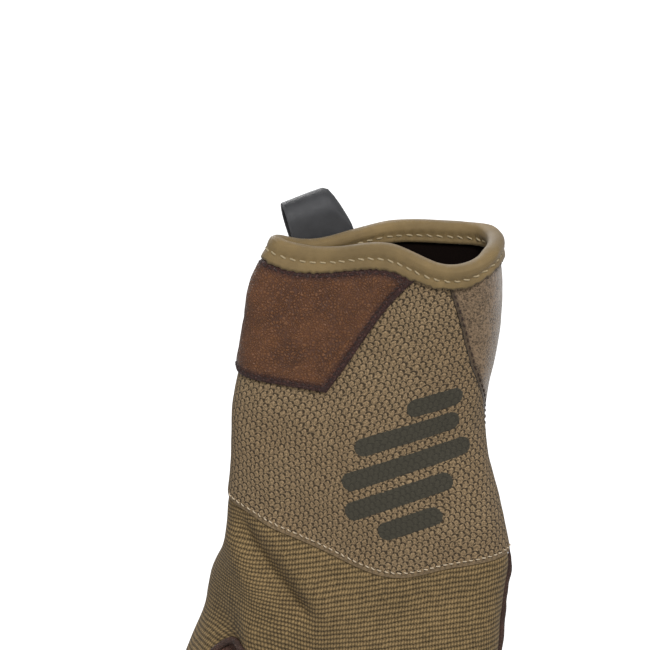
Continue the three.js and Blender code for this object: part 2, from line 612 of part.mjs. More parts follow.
// Cuff: mesh over the back of the wrist, suede over the palm heel, meeting in a slanting edge on the back.
const CUFF_ROWS = 15;
const PANEL_EDGE = 0.018; // in rows or columns, about the seam gap
const heelEdge = (v) => readTable(HEEL_EDGE, "v", v, "around");
const thumbEdge = () => -0.35;
place("mesh_cuff", cuffPanel({
  left: (v) => thumbEdge(v) + PANEL_EDGE * 2,
  right: (v) => heelEdge(v) - PANEL_EDGE * 2,
  top: () => 0,
  bottom: () => SEAM_ROW - PANEL_EDGE,
  across: 24,
  along: CUFF_ROWS,
  lift: -MESH_WALL,
  wall: MESH_WALL,
}), MESH_CLOTH);
place("palm_heel", cuffPanel({
  left: (v) => heelEdge(v) + PANEL_EDGE * 2,
  right: (v) => COLUMNS + thumbEdge(v) - PANEL_EDGE * 2,
  top: () => 0,
  bottom: () => SEAM_ROW - PANEL_EDGE,
  across: 21,
  along: CUFF_ROWS,
  lift: -HEEL_WALL,
  wall: HEEL_WALL,
}), TAN_SUEDE);
place("rim_binding", bindingGeometry(), BINDING_TAPE);

// Wrist tab: sewn flat over the mesh, round the thumb side to the palm, cut off on a slant at its end.
place("wrist_tab", cuffPanel({
  left: () => -1.6,
  right: (v) => lerp(6.05, 3.7, v),
  top: (around) => downForDrop(around, BINDING_DROP + SEAM_GAP),
  bottom: (around) => downForHeight(around, lerp(-47, -51.5, clamp(around / 3.7, 0, 1))),
  across: 16,
  along: 7,
  lift: TAB_LIFT,
  wall: TAB_WALL,
}), BROWN_LEATHER);

// Hand, fingers and thumb.
const surface = handSurface();
place("hand_back", handPanel(surface, "hand_back", KNIT_WALL, SEAM_GAP), KNIT_CLOTH);
place("palm", handPanel(surface, "palm", PALM_WALL, SEAM_GAP), BROWN_LEATHER);
place("thumb_front", handPanel(surface, "thumb_front", PALM_WALL, SEAM_GAP), BROWN_LEATHER);
place("thumb_web", handPanel(surface, "thumb_web", WEB_WALL, SEAM_GAP * 1.4), DARK_LEATHER);

// The hang loop stands on the palm side of the rim, rolled a little so that its fold climbs to the right.
const loop = place("hang_loop", loopGeometry(), LOOP_RUBBER);
loop.geometry.applyMatrix4(new THREE.Matrix4().makeBasis(
  new THREE.Vector3(0, 1, 0),
  new THREE.Vector3(0, 0, 1),
  new THREE.Vector3(1, 0, 0),
));
loop.rotation.set(0, -LOOP_ROLL, LOOP_YAW);

export default glove;
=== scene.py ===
"""A left-hand tactical glove, hanging fingers down from the loop at its cuff.

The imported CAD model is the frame. Each operator makes one piece, or a group of like pieces, in metres.
Shapes are worked out in millimetres from the tables below and scaled when a mesh is made.
+X is the little-finger side, -Y the back of the hand, +Z up, and the origin is the crown of the loop's eye.
"""
import math
from functools import cache

import bpy
import numpy as np
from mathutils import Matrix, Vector, noise
from mathutils.kdtree import KDTree


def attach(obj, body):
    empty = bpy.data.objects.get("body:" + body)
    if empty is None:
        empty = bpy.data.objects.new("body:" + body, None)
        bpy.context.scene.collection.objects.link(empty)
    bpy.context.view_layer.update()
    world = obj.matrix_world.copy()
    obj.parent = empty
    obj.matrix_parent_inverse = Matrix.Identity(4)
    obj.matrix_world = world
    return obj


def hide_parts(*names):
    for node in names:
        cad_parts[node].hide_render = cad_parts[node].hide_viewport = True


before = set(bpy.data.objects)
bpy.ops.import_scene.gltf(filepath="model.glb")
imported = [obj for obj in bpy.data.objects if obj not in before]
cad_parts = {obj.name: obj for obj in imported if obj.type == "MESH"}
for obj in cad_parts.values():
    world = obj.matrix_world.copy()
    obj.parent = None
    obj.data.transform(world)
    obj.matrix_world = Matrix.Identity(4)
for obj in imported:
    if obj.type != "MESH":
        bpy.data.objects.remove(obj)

bl_info = {
    "name": "Tactical Glove",
    "version": (1, 0, 0),
    "blender": (4, 5, 0),
    "location": "View3D > Sidebar > Glove",
    "description": "Builds a left-hand tactical glove piece by piece",
    "category": "Add Mesh",
}

MM = 0.001
BODY = "root"

# Panels of the hand, in the order of their material slots on the control mesh.
PANELS = ["none", "hand_back", "palm", "thumb_front", "thumb_web"]

COLUMNS = 20
LITTLE_SEAM = 10
SEAM_ROW = 7
THUMB_ROW = 8
ACROSS = [0, 0.03, 0.13, 0.256, 0.383, 0.51, 0.635, 0.76, 0.88, 0.965, 1]
EDGE_ROUNDNESS = 3.6
SPLINE_SWELL = 1.03
RING_SWELL = 1.14
HAND_LEVELS = 3

# Rows of the hand tube: place, left, right, left seam's y, right seam's y,
# then the bulge of the back and of the palm at the thumb side, middle and little-finger side.
TUBE_ROWS = [
    (0.0, -13.2, 54.4, -14.2, -16.2, 4.8, 10.5, 20.0, 6.4, 12.0, 14.0),
    (0.11, -18.0, 55.6, -15.2, -16.2, 5.2, 11.5, 18.5, 7.4, 12.5, 13.5),
    (0.24, -20.2, 55.6, -16.2, -16.2, 6.5, 12.3, 16.5, 8.4, 12.5, 12.5),
    (0.4, -21.6, 52.9, -16.7, -17.2, 8.2, 13.0, 14.0, 9.2, 12.4, 11.2),
    (0.55, -24.4, 50.0, -17.2, -17.2, 9.6, 13.6, 12.6, 10.0, 12.4, 10.8),
    (0.7, -26.6, 51.6, -17.7, -18.2, 10.4, 13.8, 12.0, 11.2, 13.2, 11.2),
    (0.86, -26.2, 55.8, -18.2, -18.7, 10.8, 13.6, 12.0, 12.4, 14.0, 12.0),
    (1.0, -27.4, 58.9, -18.2, -18.7, 10.8, 13.2, 12.0, 13.4, 14.4, 12.6),
    (1.19, -27.6, 57.3, -18.2, -18.7, 10.8, 13.0, 11.8, 14.0, 14.4, 12.8),
    (1.38, -26.6, 55.8, -18.2, -18.7, 10.8, 12.8, 11.6, 14.0, 14.0, 12.4),
    (1.56, -24.2, 55.5, -18.2, -18.7, 10.8, 12.4, 11.4, 12.8, 13.2, 11.6),
    (1.71, -23.2, 55.5, -18.2, -18.7, 10.8, 12.2, 11.2, 11.8, 12.4, 11.0),
    (1.86, -26.8, 55.7, -18.2, -18.7, 10.6, 11.8, 10.8, 10.8, 11.4, 10.2),
    (2.0, -31.5, 56.0, -18.2, -18.7, 10.2, 10.8, 10.0, 10.0, 10.4, 9.6),
]

# Heights across the hand: place, rim, seam and finger crotch, each on the back and then on the palm.
EDGE_HEIGHTS = [
    (0.0, -8.0, -8.0, -85.0, -84.0, -168, -168),
    (0.06, -10.1, -10.2, -88.5, -84.0, -170, -169),
    (0.13, -10.9, -11.6, -91.5, -85.0, -171, -170),
    (0.26, -11.0, -10.6, -96.5, -86.0, -171, -170),
    (0.4, -8.7, -8.2, -102.5, -87.0, -174, -173),
    (0.51, -7.2, -7.2, -108.2, -88.0, -173, -172),
    (0.635, -10.8, -7.2, -109.9, -90.0, -173, -172),
    (0.76, -13.0, -7.9, -106.4, -94.0, -169, -168),
    (0.88, -11.4, -7.9, -105.4, -99.0, -167, -166),
    (0.95, -8.2, -7.6, -104.4, -101.5, -166, -165),
    (1.0, -7.1, -7.1, -103.5, -103.5, -164, -164),
]

# Fingers: first back column, tip x, y, z, half width, half depth.
FINGERS = [
    (1, -27.0, -10.0, -239, 10.6, 9.0),
    (3, 0.5, -8.5, -252, 10.6, 9.2),
    (5, 28.0, -8.5, -245, 10.4, 9.0),
    (7, 55.0, -8.5, -224, 9.6, 8.4),
]
# Finger rows: place along the finger, share of the width, share of the depth.
FINGER_ROWS = [
    (0.13, 1.0, 1.0),
    (0.32, 1.0, 1.0),
    (0.52, 0.99, 0.97),
    (0.72, 0.96, 0.92),
    (0.89, 0.86, 0.8),
    (0.985, 0.56, 0.5),
]
# Thumb rows: x, y, z, half width, half depth, turn in radians, slant.
THUMB_ROWS = [
    (-28.8, -7.6, -124, 12.4, 5.4, 1.15, 9),
    (-31.6, -6.2, -136, 11.6, 5.8, 1.28, 4),
    (-34.6, -4.6, -148, 11.4, 6.8, 1.3, 1),
    (-37.8, -3.0, -160, 11.2, 7.2, 1.3, 0),
    (-40.8, -1.4, -172, 10.6, 7.2, 1.3, 0),
    (-43.2, 0.2, -182, 9.0, 6.2, 1.3, 0),
    (-44.6, 1.2, -189.5, 5.6, 4.0, 1.3, 0),
]
THUMB_TIP = (-45.2, 1.6, -191.5)
RING = [(-1, 0), (-0.7, 0.78), (0, 1), (0.7, 0.78), (1, 0), (0.7, -0.78), (0, -1), (-0.7, -0.78)]

# Folds of the back of the hand: from x, z to x, z, width and depth. A negative depth is a ridge.
FOLDS = [
    (-24, -90, -5, -124, 7, 1.6),
    (-17, -92, 2, -128, 8, -1.2),
    (44, -112, 20, -126, 8, 0.7),
    (39, -20, 46, -52, 4, 0.8),
]
# Finer creases that only this visible skin has.
CREASES = [
    (-26, -92.5, -3, -123, 2.7, 3.1),
    (-18, -92, 3, -121, 4.5, -1.2),
    (-30, -97, -12, -124, 4.5, -0.9),
    (-31, -98, -17, -122, 4.0, -0.6),
    (-28, -112, -16, -126, 3.5, 0.5),
    (-20, -132, 2, -141, 4.5, 0.7),
    (10, -130, 40, -127, 5.0, -0.45),
    (44, -140, 54, -150, 4.0, 0.4),
    (34, -66, 50, -74, 5.0, 0.5),
    (-24, -62, -8, -66, 5.0, 0.45),
    (28, -26, 36, -46, 3.0, -0.35),
]
# The suede's front edge on the back of the cuff: place from rim to seam, and column.
HEEL_EDGE = [
    (0.0, 6.9), (0.1, 7.12), (0.2, 7.42), (0.3, 7.75), (0.38, 8.15),
    (0.45, 8.7), (0.52, 9.4), (0.6, 10.0), (0.7, 10.3), (1.0, 10.3),
]
# How much higher the binding's crown stands at each column than the cuff's rim.
RIM_RISE = [(0, 1.1), (2, 1.3), (4, 1.2), (5.5, 0.6), (6.5, 0), (8.5, 0), (10, 0.7), (11, 1.7), (12.5, 2.1),
            (15, 2.1), (17, 1.7), (18.5, 1.2), (20, 1.1)]
# The fold line from the thumb's root to the palm, where the knit's rows sag: height and x.
SAG_LINE = [(-125, 0.0), (-118, -2.4), (-113, -8.4), (-103, -16.8), (-86, -23.4), (-70, -28)]
# The crotch of the thumb: its place, and how the visible skin is drawn down, narrowed and shifted near it.
CROTCH = (-25.5, -129.0)
CROTCH_DROP = 2.6
CROTCH_NARROWING = 0.6
CROTCH_SHIFT = 1.6
CROTCH_REACH = 9.0
# The mesh's hem stands off the hand by its lift, fades over its reach, and lies down near its two ends.
HEM_LIFT = 0.42
HEM_REACH = 3.5
HEM_END = 4.0
HEM_STITCH_DROP = 1.3
HEM_STITCH_RISE_AT = 1.4
# How far from a panel's edge its cloth starts to turn down, on the hand and on the cuff.
HAND_TURN = 1.6
CUFF_TURN = 0.8
SEAM_PULL = 0.12
# No seam roll stands up left of this x where it is above this height.
ROLL_FREE = (0.0, -150.0)
ROLL_RADIUS = 1.15
ROLL_HEIGHT = 0.2
THUMB_SIDE_EDGE = -0.35
PANEL_GAP = 0.012
TAB_LEFT = -1.6
TAB_TOP_RIGHT = 6.05
TAB_BOTTOM_RIGHT = 3.7
TAB_FOOT = -47
TAB_FOOT_SLANT = 4.5
TAB_STITCH_INSET = 1.5


# Sizes and colours a user would change

def tint(name, text, rgb):
    return bpy.props.FloatVectorProperty(
        name=name, description=text, subtype="COLOR", size=3, min=0, max=1, default=rgb)


def millimetres(name, text, default, low, high):
    return bpy.props.FloatProperty(
        name=name, description=f"{text}, in mm", default=default, min=low, max=high)


class GloveSizes(bpy.types.PropertyGroup):
    """Sizes of the glove's cloths, edges and stitches."""
    knit_wall: millimetres("Knit wall", "Thickness of the knit", 1.8, 0.5, 3)
    palm_wall: millimetres("Palm wall", "Thickness of the palm leather", 1.5, 0.5, 3)
    mesh_wall: millimetres("Mesh wall", "Thickness of the spacer mesh", 2.2, 0.5, 4)
    tab_wall: millimetres("Tab wall", "Thickness of the wrist tab's leather", 1.3, 0.5, 3)
    binding_drop: millimetres("Binding drop", "Reach of the binding's outer leaf down the cuff", 5.7, 3, 10)
    binding_stitch: millimetres("Binding stitch", "Stitch spacing along the binding", 3.1, 1.5, 6)
    seam_stitch: millimetres("Seam stitch", "Stitch spacing along the panels' seams", 2.0, 1, 5)
    knit_row: millimetres("Knit row", "Height of one row of the knit", 1.47, 0.5, 4)
    knit_loop: millimetres("Knit loop", "Width of one loop of the knit", 0.98, 0.4, 4)
    mesh_pitch: millimetres("Mesh pitch", "Spacing of the mesh's arcs along a row", 3.5, 1.5, 8)


class GloveColours(bpy.types.PropertyGroup):
    """Colours of the glove's finishes."""
    knit: tint("Knit", "Yarn of the back of the hand", (0.168, 0.113, 0.05))
    mesh: tint("Mesh", "Yarn of the cuff's mesh", (0.207, 0.145, 0.08))
    print_ink: tint("Print", "Ink printed on the mesh", (0.047, 0.042, 0.029))
    palm: tint("Palm leather", "Leather of the palm", (0.092, 0.039, 0.024))
    tab: tint("Tab leather", "Leather of the wrist tab", (0.12, 0.047, 0.0155))
    tab_edge: tint("Burnished edge", "Darkened edge of the wrist tab", (0.034, 0.013, 0.012))
    suede: tint("Suede", "Nap of the palm heel", (0.134, 0.091, 0.054))
    binding: tint("Binding", "Tape round the rim", (0.205, 0.14, 0.058))
    loop: tint("Loop", "Rubbered strap of the hang loop", (0.032, 0.0325, 0.035))
    cream_thread: tint("Cream thread", "Top-stitching of the binding", (0.42, 0.335, 0.2))
    seam_thread: tint("Seam thread", "Top-stitching of the mesh's hem", (0.62, 0.5, 0.35))
    tab_thread: tint("Tab thread", "Stitching of the wrist tab", (0.035, 0.018, 0.015))
    dark_thread: tint("Dark thread", "Stitching of the leather", (0.035, 0.018, 0.014))


def sizes():
    return bpy.context.scene.glove_sizes


def colours():
    return bpy.context.scene.glove_colours


# Surface of the hand and cuff

def unit(vectors):
    length = np.linalg.norm(vectors, axis=-1, keepdims=True)
    return vectors / np.maximum(length, 1e-9)


def lengths_along(points):
    """The running length along each line of points, from 0."""
    steps = np.linalg.norm(np.diff(points, axis=-2), axis=-1)
    return np.concatenate([np.zeros(steps.shape[:-1] + (1,)), np.cumsum(steps, axis=-1)], axis=-1)


def bulge(u, left, middle, right):
    """How far a face stands out from the line between the side seams."""
    if u < 0.5:
        depth = left + (middle - left) * min(max((u - 0.2) / 0.3, 0), 1)
    else:
        depth = middle + (right - middle) * min(max((u - 0.5) / 0.3, 0), 1)
    return depth * (1 - abs(2 * u - 1) ** EDGE_ROUNDNESS) ** (1 / EDGE_ROUNDNESS)


def net_point(row, column):
    at, left, right, left_y, right_y, *bulges = row
    on_back = column <= LITTLE_SEAM
    u = ACROSS[column if on_back else COLUMNS - column]
    middle = (left + right) / 2
    x = middle + (left + (right - left) * u - middle) * SPLINE_SWELL
    seam_y = left_y + (right_y - left_y) * u
    y = seam_y - bulge(u, *bulges[:3]) if on_back else seam_y + bulge(u, *bulges[3:])
    heights = np.array(EDGE_HEIGHTS)
    side = 0 if on_back else 1
    rim, seam, fork = (np.interp(u, heights[:, 0], heights[:, c + side]) for c in (1, 3, 5))
    z = rim + (seam - rim) * at if at < 1 else seam + (fork - seam) * (at - 1)
    return x, y, z


NET = np.array([[net_point(row, column) for column in range(COLUMNS)] for row in TUBE_ROWS])


def spline_weights(t):
    s = 1 - t
    return np.stack([s ** 3, 3 * t ** 3 - 6 * t ** 2 + 4, 3 * s ** 3 - 6 * s ** 2 + 4, t ** 3]) / 6


def cuff_point(around, down):
    """Points of the cuff's B-spline surface. around counts columns and down counts rows."""
    around, down = np.broadcast_arrays(np.asarray(around, float), np.asarray(down, float))
    rows = np.concatenate([2 * NET[:1] - NET[1:2], NET])
    column = np.floor(around).astype(int)
    row = np.clip(np.floor(down).astype(int), 0, SEAM_ROW - 1)
    across = spline_weights(around - column)
    along = spline_weights(down - row)
    point = np.zeros(around.shape + (3,))
    for i in range(4):
        for j in range(4):
            weight = (along[i] * across[j])[..., None]
            point += weight * rows[row + i, (column + j - 1) % COLUMNS]
    return point


def fold_depth(points, normals, folds):
    """How far folds push a surface in. It fades away from the back of the hand."""
    depth = np.zeros(points.shape[:-1])
    for from_x, from_z, to_x, to_z, width, sink in folds:
        along = np.array([to_x - from_x, to_z - from_z], float)
        offset = points[..., [0, 2]] - np.array([from_x, from_z])
        share = offset @ along / (along @ along)
        across = np.abs(offset[..., 0] * along[1] - offset[..., 1] * along[0]) / np.linalg.norm(along)
        ends = np.clip(np.minimum(share + 0.15, 1.15 - share) / 0.3, 0, 1)
        depth += sink * ends * ends * (3 - 2 * ends) * np.exp(-((across / width) ** 2))
    return depth * np.clip(-normals[..., 1], 0, 1)


def rumple(points, size, amount, seed):
    """Soft random unevenness, the same on every run."""
    flat = points.reshape(-1, 3)
    offset = Vector((seed * 7.31, seed * 3.17, seed * 5.71))
    values = [noise.noise(Vector(p) / size + offset) for p in flat]
    return amount * np.array(values).reshape(points.shape[:-1])


def cuff_frame(around, down):
    """Points of the folded cuff with the normal and the downward direction at each."""
    step = 0.02
    around, down = np.broadcast_arrays(np.asarray(around, float), np.asarray(down, float))
    point = cuff_point(around, down)
    sideways = cuff_point(around + step, down) - cuff_point(around - step, down)
    above = np.clip(down - step, 0, SEAM_ROW - 2 * step)
    downward = cuff_point(around, above + 2 * step) - cuff_point(around, above)
    normal = unit(np.cross(downward, sideways))
    point = point - normal * fold_depth(point, normal, FOLDS + CREASES)[..., None]
    return point, normal, unit(downward)


def row_where(around, rows, values, wanted):
    """The row value at which a quantity that rises along the rows is as wanted, for each column."""
    lines = values.reshape(-1, rows.size)
    wanted = np.broadcast_to(wanted, around.shape).reshape(-1)
    return np.array([np.interp(w, line, rows) for w, line in zip(wanted, lines)]).reshape(around.shape)


def down_for_drop(around, drop):
    """The row value a given distance down the cuff from the rim."""
    rows = np.linspace(0, 2.2, 60)
    around = np.asarray(around, float)
    return row_where(around, rows, lengths_along(cuff_point(around[..., None], rows)), drop)


def down_for_height(around, z):
    """The row value at a given height along a column."""
    rows = np.linspace(0, SEAM_ROW, 200)
    around = np.asarray(around, float)
    return row_where(around, rows, -cuff_point(around[..., None], rows)[..., 2], -z)


# Meshes

def make_object(name, points, faces, uv=None, values=None, materials=(), material_ids=None, sharp=None):
    """A smooth-shaded mesh from points in millimetres, with cloth coordinates and named values per point."""
    mesh = bpy.data.meshes.new(name)
    mesh.from_pydata((np.asarray(points) * MM).tolist(), [], [list(map(int, face)) for face in faces])
    mesh.update()
    corners = np.empty(len(mesh.loops), dtype=np.int64)
    mesh.loops.foreach_get("vertex_index", corners)
    if uv is not None:
        layer = mesh.uv_layers.new(name="cloth")
        layer.data.foreach_set("uv", (np.asarray(uv)[corners] * MM).ravel())
    for key, numbers in (values or {}).items():
        attribute = mesh.attributes.new(key, "FLOAT", "POINT")
        attribute.data.foreach_set("value", np.asarray(numbers, dtype=np.float32))
    for material in materials:
        mesh.materials.append(material)
    if material_ids is not None:
        mesh.polygons.foreach_set("material_index", np.asarray(material_ids, dtype=np.int32))
    mesh.polygons.foreach_set("use_smooth", np.ones(len(mesh.polygons), dtype=bool))
    if sharp:
        pairs = {tuple(sorted(map(int, pair))) for pair in sharp}
        for edge in mesh.edges:
            edge.use_edge_sharp = tuple(sorted(edge.vertices)) in pairs
    mesh.update()
    obj = bpy.data.objects.new(name, mesh)
    bpy.context.scene.collection.objects.link(obj)
    return obj


def finish_piece(obj, slot, *nodes):
    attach(obj, BODY)
    if nodes:
        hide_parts(*nodes)


def open_edges(faces):
    """The directed edges that only one face uses."""
    faces = np.asarray(faces)
    starts = faces.ravel()
    ends = np.roll(faces, -1, axis=1).ravel()
    used = set(zip(starts.tolist(), ends.tolist()))
    return [pair for pair in used if (pair[1], pair[0]) not in used]


def distance_to(points, edge_points):
    tree = KDTree(len(edge_points))
    for i, point in enumerate(edge_points):
        tree.insert(point, i)
    tree.balance()
    return np.array([tree.find(point)[2] for point in points])


def shell(name, outer, inner, faces, uv, edge, outside, inside):
    """A wall between two skins. Its cut edges take the outer finish, and its inner skin the inner one."""
    count = len(outer)
    faces = np.asarray(faces)
    rim = open_edges(faces)
    walls = [(b, a, a + count, b + count) for a, b in rim]
    every = [*faces.tolist(), *(faces[:, ::-1] + count).tolist(), *walls]
    slots = [0] * len(faces) + [1] * len(faces) + [0] * len(walls)
    sharp = [pair for a, b in rim for pair in ((a, b), (a + count, b + count))]
    return make_object(
        name, np.concatenate([outer, inner]), every, uv=np.concatenate([uv, uv]),
        values={"edge_mm": np.concatenate([edge, edge])},
        materials=(outside, inside), material_ids=slots, sharp=sharp)


def grid_faces(rows, columns, closed=False):
    """Quads of a grid of points, rows by columns, in the winding that faces out on the cuff.

    A closed grid also joins its last row to its first, and its last column to its first.
    """
    spare = 0 if closed else 1
    i, j = np.meshgrid(np.arange(rows - spare), np.arange(columns - spare), indexing="ij")
    upper = i * columns
    lower = (i + 1) % rows * columns
    after = (j + 1) % columns
    return np.stack([upper + j, lower + j, lower + after, upper + after], axis=-1).reshape(-1, 4)


def ring_faces(rings, sides, start=0):
    """Quads between rings of points, and a face on the first ring and on the last."""
    faces = []
    for ring in range(rings - 1):
        for side in range(sides):
            a = start + ring * sides + side
            b = start + ring * sides + (side + 1) % sides
            faces.append((a, b, b + sides, a + sides))
    last = start + (rings - 1) * sides
    faces.append(tuple(start + side for side in reversed(range(sides))))
    faces.append(tuple(last + side for side in range(sides)))
    return faces


def rings_round(line, sideways, normals, radii, sides):
    """Points of the rings round a middle line."""
    angles = 2 * math.pi * np.arange(sides) / sides
    across = np.cos(angles)[None, :, None] * sideways[:, None]
    upward = np.sin(angles)[None, :, None] * normals[:, None]
    return (line[:, None] + radii[:, None, None] * (across + upward)).reshape(-1, 3)


# Hand surface

class Cage:
    """The hand's control mesh: points, cloth coordinates, faces and the panel number of each face."""

    def __init__(self):
        self.points = []
        self.cloth = []
        self.faces = []
        self.panels = []

    def add(self, point, where):
        self.points.append(np.array(point, float))
        self.cloth.append(np.array(where, float))
        return len(self.points) - 1

    def face(self, corners, panel):
        self.faces.append(corners)
        self.panels.append(PANELS.index(panel))

    def ring(self, centre, side, back, u, v):
        """Eight points round a centre. u and v are the cloth's coordinates at the middle of the back."""
        ring = []
        for s, b in RING:
            across = u + math.copysign(1, s) * abs(s) ** 1.2 * np.linalg.norm(side) * 1.15 if s else u
            ring.append(self.add(centre + s * side + b * back, (across, v)))
        return ring

    def join(self, upper, lower, panels):
        for k, panel in enumerate(panels):
            after = (k + 1) % len(panels)
            self.face((upper[k], lower[k], lower[after], upper[after]), panel)

    def cap(self, ring, tip, where, front_panel):
        """Four faces that close a ring at its tip."""
        end = self.add(tip, where)
        self.face((ring[0], end, ring[2], ring[1]), "hand_back")
        self.face((end, ring[4], ring[3], ring[2]), "hand_back")
        self.face((ring[0], ring[7], ring[6], end), front_panel)
        self.face((end, ring[6], ring[5], ring[4]), front_panel)


def tube_panel(row, column):
    """The panel of a face of the hand's tube. Above the seam it only guides the surface."""
    if row < SEAM_ROW:
        return "none"
    if row == THUMB_ROW + 2 and column in (0, COLUMNS - 1):
        return "thumb_web"
    if row < THUMB_ROW and column == COLUMNS - 1:
        return "hand_back"
    return "hand_back" if column < LITTLE_SEAM else "palm"


def add_tube(cage):
    """The tube from above the cuff's seam to the fingers, open where the thumb starts. Returns its rows."""
    first = SEAM_ROW - 2
    rows = {}
    for i in range(first, len(NET)):
        place = lengths_along(NET[i, :LITTLE_SEAM + 1])
        place = place - place[LITTLE_SEAM // 2]
        rows[i] = []
        for column in range(COLUMNS):
            side = column if column <= LITTLE_SEAM else COLUMNS - column
            rows[i].append(cage.add(NET[i, column], (place[side], NET[i, column, 2])))
    for i in range(first, len(NET) - 1):
        for column in range(COLUMNS):
            if i in (THUMB_ROW, THUMB_ROW + 1) and column in (0, COLUMNS - 1):
                continue
            after = (column + 1) % COLUMNS
            corners = (rows[i][column], rows[i + 1][column], rows[i + 1][after], rows[i][after])
            cage.face(corners, tube_panel(i, column))
    return rows


def section_axes(way):
    """The sideways and backward directions of a section across a finger that runs along way."""
    side = unit(np.array([1, 0, 0]) - way * way[0])
    back = unit(np.cross(way, side))
    return side, -back if back[1] > 0 else back


def add_fingers(cage, fork):
    """Four fingers on the tube's last row of points, with one point in the crotch between two of them."""
    points = cage.points
    crotches = []
    for column, *_ in FINGERS[1:]:
        back, front = fork[column], fork[COLUMNS - column]
        crotches.append(cage.add((points[back] + points[front]) / 2, cage.cloth[back]))
    outer_sides = [fork[0], *crotches]
    inner_sides = [*crotches, fork[LITTLE_SEAM]]
    panels = ["hand_back"] * 4 + ["palm"] * 4
    for (column, *tip, half_width, half_depth), outer, inner in zip(FINGERS, outer_sides, inner_sides):
        front = [fork[COLUMNS - column - k] for k in (2, 1, 0)]
        ring = [outer, fork[column], fork[column + 1], fork[column + 2], inner, *front]
        start = (points[fork[column + 1]] + points[fork[COLUMNS - column - 1]]) / 2
        reach = np.array(tip) - start
        u = cage.cloth[fork[column + 1]][0]
        for along, width, depth in FINGER_ROWS:
            centre = start + reach * (along, along * along, along)
            side, back = section_axes(unit(reach * (1, 2 * along, 1)))
            side = side * half_width * width * RING_SWELL
            back = back * half_depth * depth * RING_SWELL
            lower = cage.ring(centre, side, back, u, centre[2])
            cage.join(ring, lower, panels)
            ring = lower
        cage.cap(ring, tip, (u, tip[2] - 2), "palm")


def add_thumb(cage, rows):
    """The thumb, on the points round the opening in the tube."""
    opening = ((0, 0), (0, 1), (1, 1), (2, 1), (2, 0), (2, -1), (1, -1), (0, -1))
    ring = [rows[THUMB_ROW + i][column % COLUMNS] for i, column in opening]
    u = cage.cloth[rows[THUMB_ROW + 1][1]][0] - 8
    middle_line = np.array(THUMB_ROWS, float)[:, :3]
    ways = unit(np.gradient(middle_line, axis=0))
    for r, (centre, way) in enumerate(zip(middle_line, ways)):
        half_width, half_depth, turn, slant = THUMB_ROWS[r][3:]
        flat, facing = section_axes(way)
        side = flat * math.cos(turn) + facing * math.sin(turn)
        back = facing * math.cos(turn) - flat * math.sin(turn)
        side = side * half_width * RING_SWELL + way * slant
        lower = cage.ring(centre, side, back * half_depth * RING_SWELL, u, centre[2])
        panels = ["hand_back"] * 4 + ["thumb_front"] * 4
        if r < 2:
            panels[3] = panels[4] = "thumb_web"
        cage.join(ring, lower, panels)
        ring = lower
    cage.cap(ring, THUMB_TIP, (u, THUMB_TIP[2] - 2), "thumb_front")


def hand_surface(levels):
    """The subdivided hand: points, cloth coordinates, faces, panel numbers and outward normals."""
    cage = Cage()
    rows = add_tube(cage)
    add_fingers(cage, rows[len(NET) - 1])
    add_thumb(cage, rows)
    source = make_object("hand_cage", cage.points, cage.faces, uv=cage.cloth, material_ids=cage.panels)
    smooth = source.modifiers.new("Smooth", "SUBSURF")
    smooth.levels = levels
    smooth.render_levels = levels
    smooth.use_limit_surface = True
    smooth.uv_smooth = "SMOOTH_ALL"
    result = source.evaluated_get(bpy.context.evaluated_depsgraph_get())
    mesh = result.to_mesh()
    count = len(mesh.vertices)
    place = np.empty(count * 3)
    mesh.vertices.foreach_get("co", place)
    place = place.reshape(-1, 3) / MM
    corners = np.empty(len(mesh.loops), dtype=np.int64)
    mesh.loops.foreach_get("vertex_index", corners)
    flat_uv = np.empty(len(mesh.loops) * 2)
    mesh.uv_layers[0].data.foreach_get("uv", flat_uv)
    uv = np.zeros((count, 2))
    uv[corners] = flat_uv.reshape(-1, 2) / MM
    tags = np.empty(len(mesh.polygons), dtype=np.int64)
    mesh.polygons.foreach_get("material_index", tags)
    quads = corners.reshape(-1, 4)
    result.to_mesh_clear()
    data = source.data
    bpy.data.objects.remove(source)
    bpy.data.meshes.remove(data)
    return place, uv, quads, tags, point_normals(place, quads)


def point_normals(points, quads):
    a, b, c, d = (points[quads[:, k]] for k in range(4))
    facing = np.cross(c - a, d - b)
    normals = np.zeros_like(points)
    for k in range(4):
        np.add.at(normals, quads[:, k], facing)
    return unit(normals)


def sagged_rows(points):
    """How far the knit's rows stand above level. They are lowest along the fold from the thumb."""
    heights, places = zip(*SAG_LINE)
    aside = points[:, 0] - np.interp(points[:, 2], heights, places)
    rounding = 3
    right = np.hypot(np.maximum(aside, 0), rounding) - rounding
    left = np.hypot(np.minimum(aside, 0), rounding) - rounding
    fade = 0.35 + 0.65 * np.clip((points[:, 2] + 175) / 45, 0, 1)
    return fade * (0.13 * right + 0.3 * left)


@cache
def hand_skin():
    """The hand's surface with its folds, made once and shared by its panels and stitches."""
    points, uv, quads, tags, normals = hand_surface(HAND_LEVELS)
    off = points[:, [0, 2]] - np.array(CROTCH)
    near = np.exp(-(off ** 2).sum(axis=1) / CROTCH_REACH ** 2)
    points[:, 0] += near * (CROTCH_SHIFT - CROTCH_NARROWING * off[:, 0])
    points[:, 2] -= near * CROTCH_DROP
    uv[:, 1] = points[:, 2] - sagged_rows(points)
    points = points - normals * fold_depth(points, normals, FOLDS + CREASES)[:, None]
    points = points + normals * rumple(points, 16, 0.55, 1)[:, None]
    points = points + normals * rumple(points, 6, 0.16, 2)[:, None]
    normals = point_normals(points, quads)
    return {"points": points, "uv": uv, "quads": quads, "tags": tags, "normals": normals}


def panel_quads(panel):
    skin = hand_skin()
    return skin["quads"][skin["tags"] == PANELS.index(panel)]


